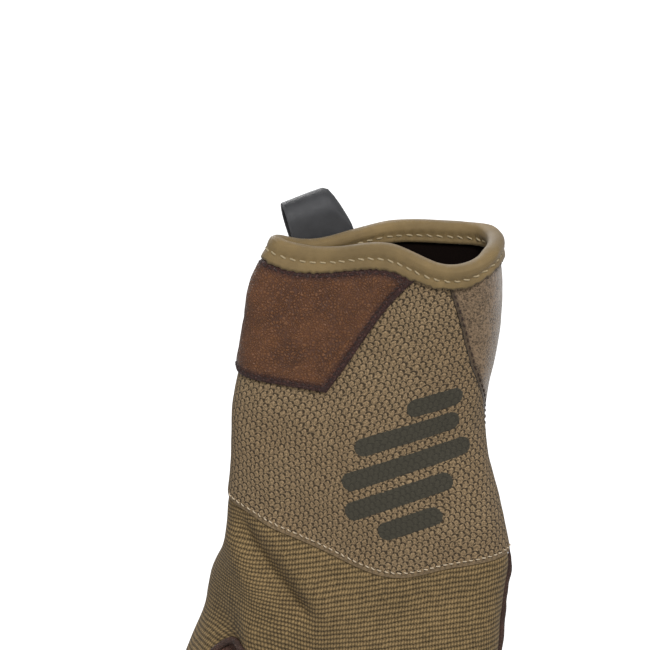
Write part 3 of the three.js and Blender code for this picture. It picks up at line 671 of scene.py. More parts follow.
def hand_panel(name, panel, wall, outside, inside, roll):
    """One panel of the hand as a wall whose edges turn down into the seams."""
    skin = hand_skin()
    used, faces = np.unique(panel_quads(panel), return_inverse=True)
    faces = faces.reshape(-1, 4)
    points = skin["points"][used]
    normals = skin["normals"][used]
    rim = np.unique(np.array(open_edges(faces)))
    edge = distance_to(points, points[rim])
    lift = -roll * np.exp(-((edge / HAND_TURN) ** 2))
    outer = points + normals * lift[:, None]
    pull = np.zeros_like(points)
    centres = points[faces].mean(axis=1)
    for k in range(4):
        np.add.at(pull, faces[:, k], centres - points[faces[:, k]])
    outer[rim] += unit(pull[rim]) * SEAM_PULL
    inner = outer - normals * (wall + lift)[:, None]
    return shell(name, outer, inner, faces, skin["uv"][used], edge, outside, inside)


# Stitches and seams

def at_length(length, path, where):
    return np.stack([np.interp(where, length, path[:, k]) for k in range(3)], axis=-1)


def stitches(name, path, normals, pitch, share, radius, material, slot, rise=0.16, skew=0.0):
    """A row of short thread bridges along a path. share is a stitch's part of the pitch."""
    sides = 6
    length = lengths_along(path)
    count = max(int(length[-1] / pitch), 1)
    real_pitch = length[-1] / count
    spread = np.array([-0.5, -0.42, -0.2, 0.0, 0.2, 0.42, 0.5]) * share * real_pitch
    heights = np.array([-0.5, 0.0, 0.8, 1.0, 0.8, 0.0, -0.5]) * rise
    thick = np.array([0.55, 0.92, 1.0, 1.0, 1.0, 0.92, 0.55]) * radius
    points = []
    faces = []
    rng = np.random.default_rng(len(name) * 97 + count)
    for number in range(count):
        wander = rng.normal(0, 0.08, 2)
        where = np.clip((number + 0.5) * real_pitch + spread + wander[0], 0, length[-1])
        line = at_length(length, path, where)
        normal = unit(at_length(length, normals, where))
        sideways = unit(np.cross(unit(np.gradient(line, axis=0)), normal))
        aside = (skew + wander[1]) * spread / spread[-1]
        line = line + normal * heights[:, None] + sideways * aside[:, None]
        faces += ring_faces(len(line), sides, len(line) * sides * number)
        points.append(rings_round(line, sideways, normal, thick, sides))
    obj = make_object(name, np.concatenate(points), faces, materials=(material,))
    finish_piece(obj, slot)


def seam_roll(name, path, normals):
    """A thin roll of leather along a path, thinner at its two ends."""
    sides = 10
    count = len(path)
    sideways = unit(np.cross(unit(np.gradient(path, axis=0)), normals))
    from_end = np.minimum(np.arange(count), np.arange(count)[::-1])
    radii = ROLL_RADIUS * np.clip(from_end / 4, 0.15, 1)
    points = rings_round(path, sideways, normals, radii, sides)
    obj = make_object(name, points, ring_faces(count, sides), materials=(edge_leather(),))
    finish_piece(obj, "palm_leather")


def shared_runs(quads_a, quads_b):
    """The runs of edges that two panels share, as point numbers in order, longest run first."""
    def edges_of(quads):
        pairs = np.stack([quads.ravel(), np.roll(quads, -1, axis=1).ravel()], axis=1)
        return {tuple(sorted(pair)) for pair in pairs.tolist()}
    links = {}
    for a, b in edges_of(quads_a) & edges_of(quads_b):
        links.setdefault(a, []).append(b)
        links.setdefault(b, []).append(a)
    runs = []
    unseen = set(links)
    while unseen:
        ends = [p for p in unseen if len(links[p]) == 1]
        following = [min(ends) if ends else min(unseen)]
        run = []
        while following:
            run.append(following[0])
            unseen.discard(following[0])
            following = [p for p in links[run[-1]] if p in unseen]
        runs.append(run)
    return sorted(runs, key=len, reverse=True)


# Node groups

class Wire:
    """A node's output that takes part in sums as a number does."""

    def __init__(self, nodes, socket):
        self.nodes = nodes
        self.socket = socket

    def __add__(self, other):
        return self.nodes.math("ADD", self, other)

    def __sub__(self, other):
        return self.nodes.math("SUBTRACT", self, other)

    def __rsub__(self, other):
        return self.nodes.math("SUBTRACT", other, self)

    def __mul__(self, other):
        return self.nodes.math("MULTIPLY", self, other)

    def __truediv__(self, other):
        return self.nodes.math("DIVIDE", self, other)

    def __rtruediv__(self, other):
        return self.nodes.math("DIVIDE", other, self)

    def __pow__(self, other):
        return self.nodes.math("POWER", self, other)

    def __abs__(self):
        return self.nodes.math("ABSOLUTE", self)

    __radd__ = __add__


class Nodes:
    """Short hands for building one node tree."""

    def __init__(self, tree):
        self.tree = tree

    def node(self, kind, **values):
        made = self.tree.nodes.new(kind)
        for key, value in values.items():
            setattr(made, key, value)
        return made

    def put(self, socket, value):
        if isinstance(value, Wire):
            self.tree.links.new(value.socket, socket)
        elif value is not None:
            socket.default_value = value

    def made(self, kind, inputs, output=0, **values):
        """A new node with its inputs set or linked. Returns one of its outputs."""
        node = self.node(kind, **values)
        for key, value in inputs.items():
            self.put(node.inputs[key], value)
        return Wire(self, node.outputs[output])

    def math(self, operation, a, b=None, clamp=False):
        return self.made("ShaderNodeMath", {0: a, 1: b}, operation=operation, use_clamp=clamp)

    def smooth(self, value, low, high, to_low=0.0, to_high=1.0):
        """A number that turns softly from to_low, where value is low, to to_high, where it is high."""
        ends = {"Value": value, "From Min": low, "From Max": high, "To Min": to_low, "To Max": to_high}
        return self.made("ShaderNodeMapRange", ends, "Result", interpolation_type="SMOOTHSTEP")

    def mix(self, share, a, b, blend="MIX"):
        return self.made("ShaderNodeMix", {0: share, 6: a, 7: b}, 2, data_type="RGBA", blend_type=blend)

    def shade(self, value, low, high, a, b):
        """Colour a where value is low, colour b where it is high."""
        return self.mix(self.smooth(value, low, high), a, b)

    def noise(self, vector, scale, detail=2.0, roughness=0.5, output="Fac"):
        inputs = {"Vector": vector, "Scale": scale, "Detail": detail, "Roughness": roughness}
        return self.made("ShaderNodeTexNoise", inputs, output)

    def voronoi(self, vector, scale, feature="F1"):
        inputs = {"Vector": vector, "Scale": scale}
        return self.made("ShaderNodeTexVoronoi", inputs, "Distance", feature=feature)

    def scaled(self, vector, factor):
        return self.made("ShaderNodeVectorMath", {0: vector, "Scale": factor}, operation="SCALE")

    def in_mm(self, vector):
        return self.scaled(vector, 1 / MM)

    def shifted(self, vector, offset):
        return self.made("ShaderNodeVectorMath", {0: vector, 1: offset}, operation="ADD")

    def split(self, vector):
        node = self.node("ShaderNodeSeparateXYZ")
        self.put(node.inputs[0], vector)
        return [Wire(self, output) for output in node.outputs]

    def random(self, x, y):
        """A random value for each whole-numbered cell."""
        cell = self.made("ShaderNodeCombineXYZ", {0: self.math("FLOOR", x), 1: self.math("FLOOR", y)})
        return self.made("ShaderNodeTexWhiteNoise", {"Vector": cell}, "Value", noise_dimensions="3D")

    def coordinates(self, kind):
        return self.made("ShaderNodeTexCoord", {}, kind)

    def group(self, tree, **values):
        """A placed node group. Returns its outputs by name."""
        node = self.node("ShaderNodeGroup")
        node.node_tree = tree
        for key, value in values.items():
            self.put(node.inputs[key], value)
        return {output.name: Wire(self, output) for output in node.outputs}


def new_group(name, vector, numbers, outputs):
    """An empty node group with a vector input, number inputs with their defaults, and number outputs."""
    tree = bpy.data.node_groups.new(name, "ShaderNodeTree")
    tree.interface.new_socket(name=vector, in_out="INPUT", socket_type="NodeSocketVector")
    for key, value in numbers.items():
        socket = tree.interface.new_socket(name=key, in_out="INPUT", socket_type="NodeSocketFloat")
        socket.default_value = value
    for key in outputs:
        tree.interface.new_socket(name=key, in_out="OUTPUT", socket_type="NodeSocketFloat")
    n = Nodes(tree)
    entry = n.node("NodeGroupInput").outputs
    leave = n.node("NodeGroupOutput").inputs
    return tree, n, {key: Wire(n, entry[key]) for key in (vector, *numbers)}, leave


@cache
def knit_loops():
    """Rows of upright beads of yarn: height, gap shade and a random value for each loop."""
    tree, n, i, o = new_group(
        "knit_loops", "Cloth", {"Loop": 1.0, "Row": 1.5}, ("Height", "Gap", "Loop Tone"))
    cloth = n.in_mm(i["Cloth"])
    sway = n.noise(cloth, 0.14) - 0.5
    jitter = n.noise(cloth, 0.9) - 0.5
    x, y, _ = n.split(cloth)
    x = x + sway * 1.3 + jitter * 0.5
    y = y + sway + jitter * 0.65
    v = y / i["Row"]
    lean = (n.math("FRACT", v) - 0.5) * 0.3
    u = x / i["Loop"] - lean
    across = abs(n.math("SINE", u * math.pi))
    along = abs(n.math("SINE", v * math.pi))
    bead = along ** 0.7 * (across * 0.4 + 0.6)
    fibre = (n.noise(cloth, 3.5, 3.0, 0.7) - 0.5) * 0.45
    n.put(o["Height"], bead + fibre)
    between = 1.0 - across
    ditch = n.smooth(along, 0.05, 0.72, 1.0, 0.0)
    shade = ditch * (between * 1.35 + 0.07) + between ** 2.0 * 0.3
    n.put(o["Gap"], n.math("ADD", shade, fibre * -0.6, clamp=True))
    n.put(o["Loop Tone"], n.random(u, v))
    return tree


@cache
def mesh_arcs():
    """Light pads in a brick pattern, each under a small dark arc: height, the arc mask of the painted shade
    in the holes, and the yarn tone with a painted highlight on each pad's middle.
    """
    tree, n, i, o = new_group(
        "mesh_arcs", "Cloth", {"Pitch": 3.5, "Tilt": 0.2}, ("Height", "Hole", "Yarn Tone"))
    cloth = n.in_mm(i["Cloth"])
    sway = n.noise(cloth, 0.1) - 0.5
    jitter = n.noise(cloth, 0.7) - 0.5
    flat_x, flat_y, _ = n.split(cloth)
    x = flat_x - flat_y * i["Tilt"] + sway * 3.0 + jitter * 0.6
    y = flat_y + flat_x * i["Tilt"] + sway * 2.2 + jitter * 0.5
    row_height = i["Pitch"] * 0.33
    v = y / row_height
    row = n.math("FLOOR", v)
    u = x / i["Pitch"] + n.math("PINGPONG", row, 1.0) * 0.5
    dice = n.random(u, v)
    cell_x = (n.math("FRACT", u) - 0.5) * i["Pitch"]
    cell_y = (n.math("FRACT", v) - 0.5) * row_height
    cell_y = cell_y + cell_x * (dice * 0.3 - 0.02)
    rag = n.noise(cloth, 2.1, 3.0, 0.7) - 0.5
    wide = abs(cell_x)
    arc = 0.3 - cell_x * cell_x * 0.62
    thick = n.smooth(wide, 0.15, 0.7, 0.13, 0.43) + cell_x * 0.14 + (dice - 0.5) * 0.12
    inside = thick - (abs(cell_y - arc) + rag * 0.75)
    hole = n.smooth(inside, -0.1, 0.12) * n.smooth(wide, 0.85, 1.15, 1.0, 0.0)
    pad = n.math("SUBTRACT", 1.0, cell_x * cell_x * 0.9 + cell_y * cell_y * 3.0, clamp=True)
    strand = n.made("ShaderNodeCombineXYZ", {0: x + y, 1: (x - y) * 0.5})
    yarn = n.noise(strand, 2.2, 3.0, 0.75) - 0.5
    n.put(o["Height"], pad * 0.1 + yarn * 0.8 - hole * 0.6)
    n.put(o["Hole"], hole)
    # The pad term is a painted highlight on the middle of each pad; the yarn term is the yarn's own tone.
    n.put(o["Yarn Tone"], pad * 0.2 + yarn * 2.3 + 0.45)
    return tree


@cache
def leather_grain():
    """Pebbled leather grain: height, crease mask and slow patches. Size is the pebble in mm."""
    tree, n, i, o = new_group(
        "leather_grain", "Place", {"Size": 0.8, "Wrinkle": 0.3}, ("Height", "Crease", "Patch"))
    place = n.in_mm(i["Place"])
    bent = n.shifted(place, n.scaled(n.noise(place, 0.5, output="Color"), 1.6))
    scale = 1.0 / i["Size"]
    cells = n.voronoi(bent, scale, "DISTANCE_TO_EDGE")
    small = n.voronoi(bent, scale * 2.3, "DISTANCE_TO_EDGE")
    pores = n.noise(place, 3.5, 3.0, 0.65)
    lines = n.noise(n.scaled(bent, 0.35), 1.0, 3.0, 0.6)
    wrinkle = n.smooth(abs(lines - 0.5), 0.0, 0.05, 1.0, 0.0) * i["Wrinkle"]
    height = n.smooth(cells, 0.0, 0.28) * 0.7 + n.smooth(small, 0.0, 0.2) * 0.2 + pores * 0.25
    n.put(o["Height"], height - wrinkle * 0.9)
    n.put(o["Crease"], n.math("MAXIMUM", n.smooth(cells, 0.0, 0.16, 1.0, 0.0), wrinkle))
    n.put(o["Patch"], n.noise(place, 0.11, 3.0, 0.55))
    return tree


@cache
def suede_nap():
    """Brushed suede nap with small pits: height and tone."""
    tree, n, i, o = new_group("suede_nap", "Place", {}, ("Height", "Tone"))
    place = n.in_mm(i["Place"])
    fine = n.noise(place, 1.5, 3.0, 0.75)
    pits = n.smooth(n.voronoi(place, 1.7), 0.1, 0.6)
    broad = n.noise(place, 0.2, 3.0, 0.55)
    grit = fine * 0.88 + pits * 0.12
    n.put(o["Height"], grit + broad * 0.3)
    n.put(o["Tone"], grit * 0.8 + broad * 0.2)
    return tree


@cache
def tone_and_edge():
    """Slow tone changes from dust and handling, and a mask that is 1 at a cut edge and fades inwards."""
    tree, n, i, o = new_group("tone_and_edge", "Place", {"Width": 1.5}, ("Tone", "Edge"))
    place = n.in_mm(i["Place"])
    n.put(o["Tone"], n.noise(place, 0.06, 4.0, 0.6))
    edge = n.made("ShaderNodeAttribute", {}, "Fac", attribute_name="edge_mm")
    rag = (n.noise(place, 0.9, 3.0, 0.6) - 0.5) * 0.9
    n.put(o["Edge"], n.smooth((edge + rag) / i["Width"], 0.35, 1.15, 1.0, 0.0))
    return tree


@cache
def printed_bar():
    """One bar with round, slightly ragged ends in cloth millimetres. Slope is its rise per length."""
    numbers = {"Across": 0.0, "Up": 0.0, "Half": 10.0, "Thick": 2.0, "Slope": 0.0}
    tree, n, i, o = new_group("printed_bar", "Cloth", numbers, ("Ink",))
    cloth = n.in_mm(i["Cloth"])
    flat_x, flat_y, _ = n.split(cloth)
    flat_x = flat_x - i["Across"]
    flat_y = flat_y - i["Up"]
    x = flat_x + flat_y * i["Slope"]
    y = flat_y - flat_x * i["Slope"]
    over = n.math("MAXIMUM", abs(x) - (i["Half"] - i["Thick"]), 0.0)
    far = n.math("SQRT", over * over + y * y)
    rag = (n.noise(cloth, 1.4, 3.0, 0.6) - 0.5) * 0.9
    n.put(o["Ink"], n.smooth(far - i["Thick"] + rag, -0.12, 0.12, 1.0, 0.0))
    return tree


# Materials

def new_material(name, **settings):
    material = bpy.data.materials.new(name)
    material.use_nodes = True
    shader = material.node_tree.nodes["Principled BSDF"].inputs
    for key, value in settings.items():
        shader[key.replace("_", " ")].default_value = value
    return material, Nodes(material.node_tree), shader


def rgba(colour, factor=1.0):
    return (*(min(c * factor, 1.0) for c in colour), 1.0)


def surface(n, shader, colour, height, depth, roughness=None):
    """Links a colour, a relief of a depth in mm, and a roughness if it varies, to a shader."""
    n.put(shader["Base Color"], colour)
    n.put(shader["Roughness"], roughness)
    n.put(shader["Normal"], n.made("ShaderNodeBump", {"Height": height, "Distance": depth * MM}, "Normal"))


@cache
def ribbed_knit():
    material, n, shader = new_material("ribbed_knit", Sheen_Weight=0.06, Sheen_Roughness=0.5,
                                       Specular_IOR_Level=0.25)
    knit = n.group(knit_loops(), Cloth=n.coordinates("UV"), Loop=sizes().knit_loop, Row=sizes().knit_row)
    dust_and_edge = n.group(tone_and_edge(), Place=n.coordinates("Object"), Width=1.2)
    yarn = colours().knit
    light = n.mix(knit["Loop Tone"], rgba(yarn, 0.75), rgba(yarn, 1.15))
    light = n.shade(dust_and_edge["Tone"], 0.3, 0.7, n.mix(1.0, light, (0.88, 0.88, 0.86, 1), "MULTIPLY"), light)
    # Painted highlight: the crown of each bead is lightened towards 2.5 times the yarn colour.
    light = n.mix(n.smooth(knit["Height"], 0.7, 1.1) * 0.8, light, rgba(yarn, 2.5))
    # Painted shade: the gaps between loops and rows are darkened towards 0.12 of the yarn colour.
    colour = n.mix(knit["Gap"], light, rgba(yarn, 0.12))
    # Painted shade and shadow: the knit darkens towards its edges, where it runs into the seams and under
    # the mesh's hem.
    colour = n.mix(dust_and_edge["Edge"] * 0.45, colour, rgba(yarn, 0.35))
    surface(n, shader, colour, knit["Height"], 0.22, n.smooth(knit["Gap"], 0.0, 1.0, 0.8, 0.95))
    return material


@cache
def knit_inside():
    material, n, shader = new_material("knit_inside", Roughness=0.95, Specular_IOR_Level=0.1)
    fuzz = n.noise(n.in_mm(n.coordinates("Object")), 1.4, 4.0, 0.7)
    # Painted shade: the knit's inner side is darkened to 0.16 to 0.4 of the yarn colour, with random fuzz,
    # for the shade inside the glove.
    surface(n, shader, n.mix(fuzz, rgba(colours().knit, 0.16), rgba(colours().knit, 0.4)), fuzz, 0.4)
    return material


@cache
def spacer_mesh():
    material, n, shader = new_material("spacer_mesh", Sheen_Weight=0.06, Sheen_Roughness=0.5,
                                       Specular_IOR_Level=0.22)
    cloth = n.coordinates("UV")
    net = n.group(mesh_arcs(), Cloth=cloth, Pitch=sizes().mesh_pitch)
    dust_and_edge = n.group(tone_and_edge(), Place=n.coordinates("Object"), Width=1.5)
    ink = 0.0
    for across, up, half, thick, slope in PRINT_BARS:
        bar = n.group(printed_bar(), Cloth=cloth, Across=across, Up=up, Half=half, Thick=thick, Slope=slope)
        ink = n.math("MAXIMUM", ink, bar["Ink"])
    yarn = colours().mesh
    # The yarn's own tone, with a painted highlight on the middle of each pad.
    bare = n.shade(net["Yarn Tone"], 0.05, 0.95, rgba(yarn, 0.42), rgba(yarn, 1.95))
    bare = n.shade(dust_and_edge["Tone"], 0.3, 0.7, n.mix(1.0, bare, (0.9, 0.88, 0.86, 1), "MULTIPLY"), bare)
    # Painted shade: each arc-shaped hole in the mesh is darkened towards 0.24 of the yarn colour.
    bare = n.mix(net["Hole"], bare, rgba(yarn, 0.24))
    bare = n.mix(dust_and_edge["Edge"] * 0.75, bare, rgba(yarn, 1.15))
    black = colours().print_ink
    inked = n.shade(net["Yarn Tone"], -0.1, 1.1, rgba(black, 0.8), rgba(black, 1.25))
    # Painted shade in the holes where the mesh is printed.
    inked = n.mix(net["Hole"] * 0.5, inked, rgba(black, 0.55))
    relief = net["Height"] * (1.0 - ink * 0.5) + ink * 0.3
    surface(n, shader, n.mix(ink, bare, inked), relief, 0.4, 0.9 - ink * 0.2)
    return material


@cache
def mesh_inside():
    material, n, shader = new_material("mesh_inside", Roughness=0.95, Specular_IOR_Level=0.1)
    net = n.group(mesh_arcs(), Cloth=n.coordinates("UV"), Pitch=3.0)
    # Painted shade: the lining is near black, darkest in its holes, standing in for the shade inside the
    # glove.
    lining = n.mix(net["Hole"] * 0.8, rgba(colours().mesh, 0.05), rgba(colours().mesh, 0.02))
    surface(n, shader, lining, net["Height"], 0.35)
    return material


def leather(name, colour, dark, size, wrinkle, edge_width, edge_share, roughness=0.38, relief=0.2,
            gloss=0.45):
    """Grained leather that darkens towards its cut edges, with painted shade in its creases and a painted
    highlight on its pebble tops.
    """
    material, n, shader = new_material(name, Specular_IOR_Level=gloss)
    place = n.coordinates("Object")
    grain = n.group(leather_grain(), Place=place, Size=size, Wrinkle=wrinkle)
    dust_and_edge = n.group(tone_and_edge(), Place=place, Width=edge_width)
    tone = n.shade(grain["Patch"], 0.3, 0.72, rgba(colour, 0.7), rgba(colour, 1.25))
    # Painted highlight: the pebble tops are lightened towards 1.3 times the leather colour.
    tone = n.shade(grain["Height"], 0.5, 1.1, tone, rgba(colour, 1.3))
    # Painted shade: the creases are darkened towards the dark colour.
    tone = n.mix(grain["Crease"] * 0.5, tone, rgba(dark, 1.2))
    # The burnished edge's own dark colour, with a painted highlight on its pebble tops.
    burnished_edge_with_highlight = n.scaled(dark, n.smooth(grain["Height"], 0.3, 1.0, 0.7, 1.7))
    tone = n.mix(dust_and_edge["Edge"] * edge_share, tone, burnished_edge_with_highlight)
    shine = roughness + grain["Crease"] * 0.25 + grain["Patch"] * 0.2
    surface(n, shader, tone, grain["Height"], relief, shine)
    return material


@cache
def palm_leather():
    return leather("palm_leather", colours().palm, (0.03, 0.014, 0.01), 0.75, 0.85, 1.4, 0.5, relief=0.3)


@cache
def edge_leather():
    return leather("edge_leather", (0.06, 0.028, 0.018), (0.018, 0.009, 0.007), 0.7, 0.6, 1.0, 0.0)


@cache
def tab_leather():
    return leather("tab_leather", colours().tab, colours().tab_edge, 0.9, 0.3, 3.1, 0.9, roughness=0.26,
                   relief=0.3, gloss=0.36)


@cache
def leather_inside():
    material, n, shader = new_material("leather_inside", Roughness=0.95, Specular_IOR_Level=0.1)
    nap = n.group(suede_nap(), Place=n.coordinates("Object"))
    # Painted shade: the inner side of the leather is near black, standing in for the shade inside the glove.
    tone = n.mix(nap["Tone"], rgba(colours().palm, 0.02), rgba(colours().palm, 0.06))
    surface(n, shader, tone, nap["Height"], 0.2)
    return material


@cache
def heel_suede():
    material, n, shader = new_material("heel_suede", Sheen_Weight=0.45, Sheen_Roughness=0.45,
                                       Specular_IOR_Level=0.15)
    place = n.coordinates("Object")
    nap = n.group(suede_nap(), Place=place)
    dust_and_edge = n.group(tone_and_edge(), Place=place, Width=1.6)
    suede = colours().suede
    tone = n.shade(nap["Tone"], 0.4, 0.62, rgba(suede, 0.42), rgba(suede, 1.75))
    tone = n.mix(dust_and_edge["Edge"] * 0.7, tone, rgba(suede, 0.35))
    surface(n, shader, tone, nap["Height"], 0.35, n.smooth(nap["Tone"], 0.2, 0.8, 0.98, 0.84))
    return material


@cache
def binding_tape():
    material, n, shader = new_material("binding_tape", Sheen_Weight=0.15, Sheen_Roughness=0.4,
                                       Specular_IOR_Level=0.3)
    place = n.coordinates("Object")
    dust_and_edge = n.group(tone_and_edge(), Place=place, Width=0.7)
    grain = n.group(leather_grain(), Place=place, Size=0.32, Wrinkle=0.12)
    tape = colours().binding
    tone = n.shade(dust_and_edge["Tone"], 0.3, 0.7, rgba(tape, 0.82), rgba(tape, 1.16))
    # Painted shade: the tape's creases are darkened towards 0.55 of its colour.
    tone = n.mix(grain["Crease"] * 0.22, tone, rgba(tape, 0.55))
    tone = n.mix(dust_and_edge["Edge"] * 0.55, tone, rgba(tape, 0.42))
    surface(n, shader, tone, grain["Height"], 0.06, n.smooth(grain["Patch"], 0.2, 0.8, 0.5, 0.66))
    return material


@cache
def loop_rubber():
    material, n, shader = new_material("loop_rubber", Specular_IOR_Level=0.35)
    place = n.coordinates("Object")
    dust_and_edge = n.group(tone_and_edge(), Place=place, Width=0.5)
    grain = n.group(leather_grain(), Place=place, Size=0.25, Wrinkle=0.05)
    rubber = colours().loop
    tone = n.shade(dust_and_edge["Tone"], 0.3, 0.7, rgba(rubber, 0.8), rgba(rubber, 1.35))
    tone = n.mix(dust_and_edge["Edge"] * 0.5, tone, rgba(rubber, 2.2))
    surface(n, shader, tone, grain["Height"], 0.03, n.smooth(grain["Patch"], 0.2, 0.8, 0.4, 0.55))
    return material


@cache
def thread(name):
    """Twisted sewing thread, in the colour of the same name."""
    material, n, shader = new_material(name, Sheen_Weight=0.05, Specular_IOR_Level=0.3)
    colour = getattr(colours(), name)
    place = n.in_mm(n.coordinates("Object"))
    x, y, z = n.split(place)
    twist = n.math("SINE", (x + y + z) * 14.0)
    fuzz = n.noise(place, 2.0, 3.0, 0.7)
    tone = n.mix(fuzz, rgba(colour, 0.7), rgba(colour, 1.25))
    surface(n, shader, tone, twist + fuzz, 0.05, n.smooth(fuzz, 0.2, 0.8, 0.5, 0.75))
    return material


# The plain printed bars on the cuff, in cloth millimetres: across, up, half length, half thickness, slope.
PRINT_BARS = [
    (20.0, -54.0, 9.0, 3.0, 0.3),
    (13.0, -64.0, 17.0, 3.0, 0.3),
    (13.0, -73.5, 22.0, 3.0, 0.3),
    (10.0, -83.5, 19.0, 3.0, 0.3),
    (13.0, -92.0, 11.0, 3.0, 0.3),
]


# Operators

class GloveOperator(bpy.types.Operator):
    """Shared settings of the glove's operators."""
    bl_options = {"REGISTER", "UNDO"}


class GLOVE_OT_knit_back(GloveOperator):
    """Ribbed knit over the back of the hand, the finger backs and the thumb's back"""
    bl_idname = "glove.knit_back"
    bl_label = "Knit Back"

    def execute(self, context):
        obj = hand_panel("knit_back", "hand_back", sizes().knit_wall,
                         ribbed_knit(), knit_inside(), 0.5)
        finish_piece(obj, "ribbed_knit", "hand_back")
        return {"FINISHED"}


class GLOVE_OT_leather_palm(GloveOperator):
    """Leather palm with the finger fronts, the thumb's front and the patch at the thumb's crotch"""
    bl_idname = "glove.leather_palm"
    bl_label = "Leather Palm"

    def execute(self, context):
        panels = (("leather_palm", "palm"), ("leather_thumb", "thumb_front"), ("thumb_patch", "thumb_web"))
        for name, panel in panels:
            obj = hand_panel(name, panel, sizes().palm_wall, palm_leather(), leather_inside(), 0.35)
            finish_piece(obj, "palm_leather", panel)
        self.seam_rolls()
        return {"FINISHED"}

    def seam_rolls(self):
        """The leather's raw edge stands up as a narrow roll where it meets the knit."""
        skin = hand_skin()
        for panel, fewest in (("palm", 30), ("thumb_front", 6), ("thumb_web", 6)):
            runs = shared_runs(panel_quads(panel), panel_quads("hand_back"))
            for number, run in enumerate(run for run in runs if len(run) >= fewest):
                path = skin["points"][run]
                if panel != "thumb_web":
                    free = (path[:, 0] > ROLL_FREE[0]) | (path[:, 2] < ROLL_FREE[1])
                    run = np.array(run)[free]
                    path = path[free]
                normals = skin["normals"][run]
                path = path + normals * (rumple(path, 4, 0.4, 8) + ROLL_HEIGHT)[:, None]
                seam_roll(f"seam_roll_{panel}_{number}", path, normals)


class GLOVE_OT_mesh_cuff(GloveOperator):
    """Spacer mesh over the back of the wrist"""
    bl_idname = "glove.mesh_cuff"
    bl_label = "Mesh Cuff"

    def execute(self, context):
        rows, columns = 120, 190
        v = np.linspace(0, 1, rows)[:, None]
        heel = np.interp(v, *zip(*HEEL_EDGE)) - PANEL_GAP
        start = THUMB_SIDE_EDGE + PANEL_GAP
        around = start + (heel - start) * np.linspace(0, 1, columns)[None]
        down = np.broadcast_to(v * (SEAM_ROW + 0.03), around.shape)
        obj = cuff_panel("mesh_cuff_skin", around, down, sizes().mesh_wall, 0.4,
                         spacer_mesh(), mesh_inside(), HEM_LIFT)
        finish_piece(obj, "spacer_mesh", "mesh_cuff")
        return {"FINISHED"}


class GLOVE_OT_suede_heel(GloveOperator):
    """Suede over the palm side of the cuff, with its wedge on the back"""
    bl_idname = "glove.suede_heel"
    bl_label = "Suede Heel"

    def execute(self, context):
        rows, columns = 110, 170
        v = np.linspace(0, 1, rows)[:, None]
        heel = np.interp(v, *zip(*HEEL_EDGE)) + PANEL_GAP
        end = COLUMNS + THUMB_SIDE_EDGE - PANEL_GAP
        around = heel + (end - heel) * np.linspace(0, 1, columns)[None]
        down = np.broadcast_to(v * (SEAM_ROW - 0.005), around.shape)
        obj = cuff_panel("suede_heel", around, down, 2.0, 0.45, heel_suede(), leather_inside())
        finish_piece(obj, "heel_suede", "palm_heel")
        return {"FINISHED"}


def cuff_panel(name, around, down, wall, roll, outside, inside, lift=0.0):
    """A panel of the cuff as a wall whose edges turn down by roll. Its hem stands off the hand by lift."""
    point, normal, _ = cuff_frame(around, down)
    shape = point.shape[:2]
    normals = normal.reshape(-1, 3)
    points = point.reshape(-1, 3) + normals * cuff_rumple(point).reshape(-1, 1)
    grid = np.arange(len(points)).reshape(shape)
    sides = [distance_to(points, points[line]) for line in (grid[0], grid[:, 0], grid[:, -1], grid[-1])]
    hem = sides[-1]
    edge = np.min(sides, axis=0)
    height = lift * np.exp(-((hem / HEM_REACH) ** 2)) * np.clip(np.minimum(*sides[1:3]) / HEM_END, 0, 1)
    height = height - roll * np.exp(-((edge / CUFF_TURN) ** 2))
    outer = points + normals * height[:, None]
    inner = points + normals * (height - wall * np.where(edge > 0, 1, 0.6))[:, None]
    reach = lengths_along(point)
    anchor = np.array([np.interp(LITTLE_SEAM / 2, line, run) for line, run in zip(around, reach)])
    uv = np.stack([reach - anchor[:, None], point[..., 2]], axis=-1).reshape(-1, 2)
    return shell(name, outer, inner, grid_faces(*shape), uv, hem if lift else edge, outside, inside)


def cuff_rumple(points):
    return rumple(points, 16, 0.4, 1) + rumple(points, 5, 0.14, 2)


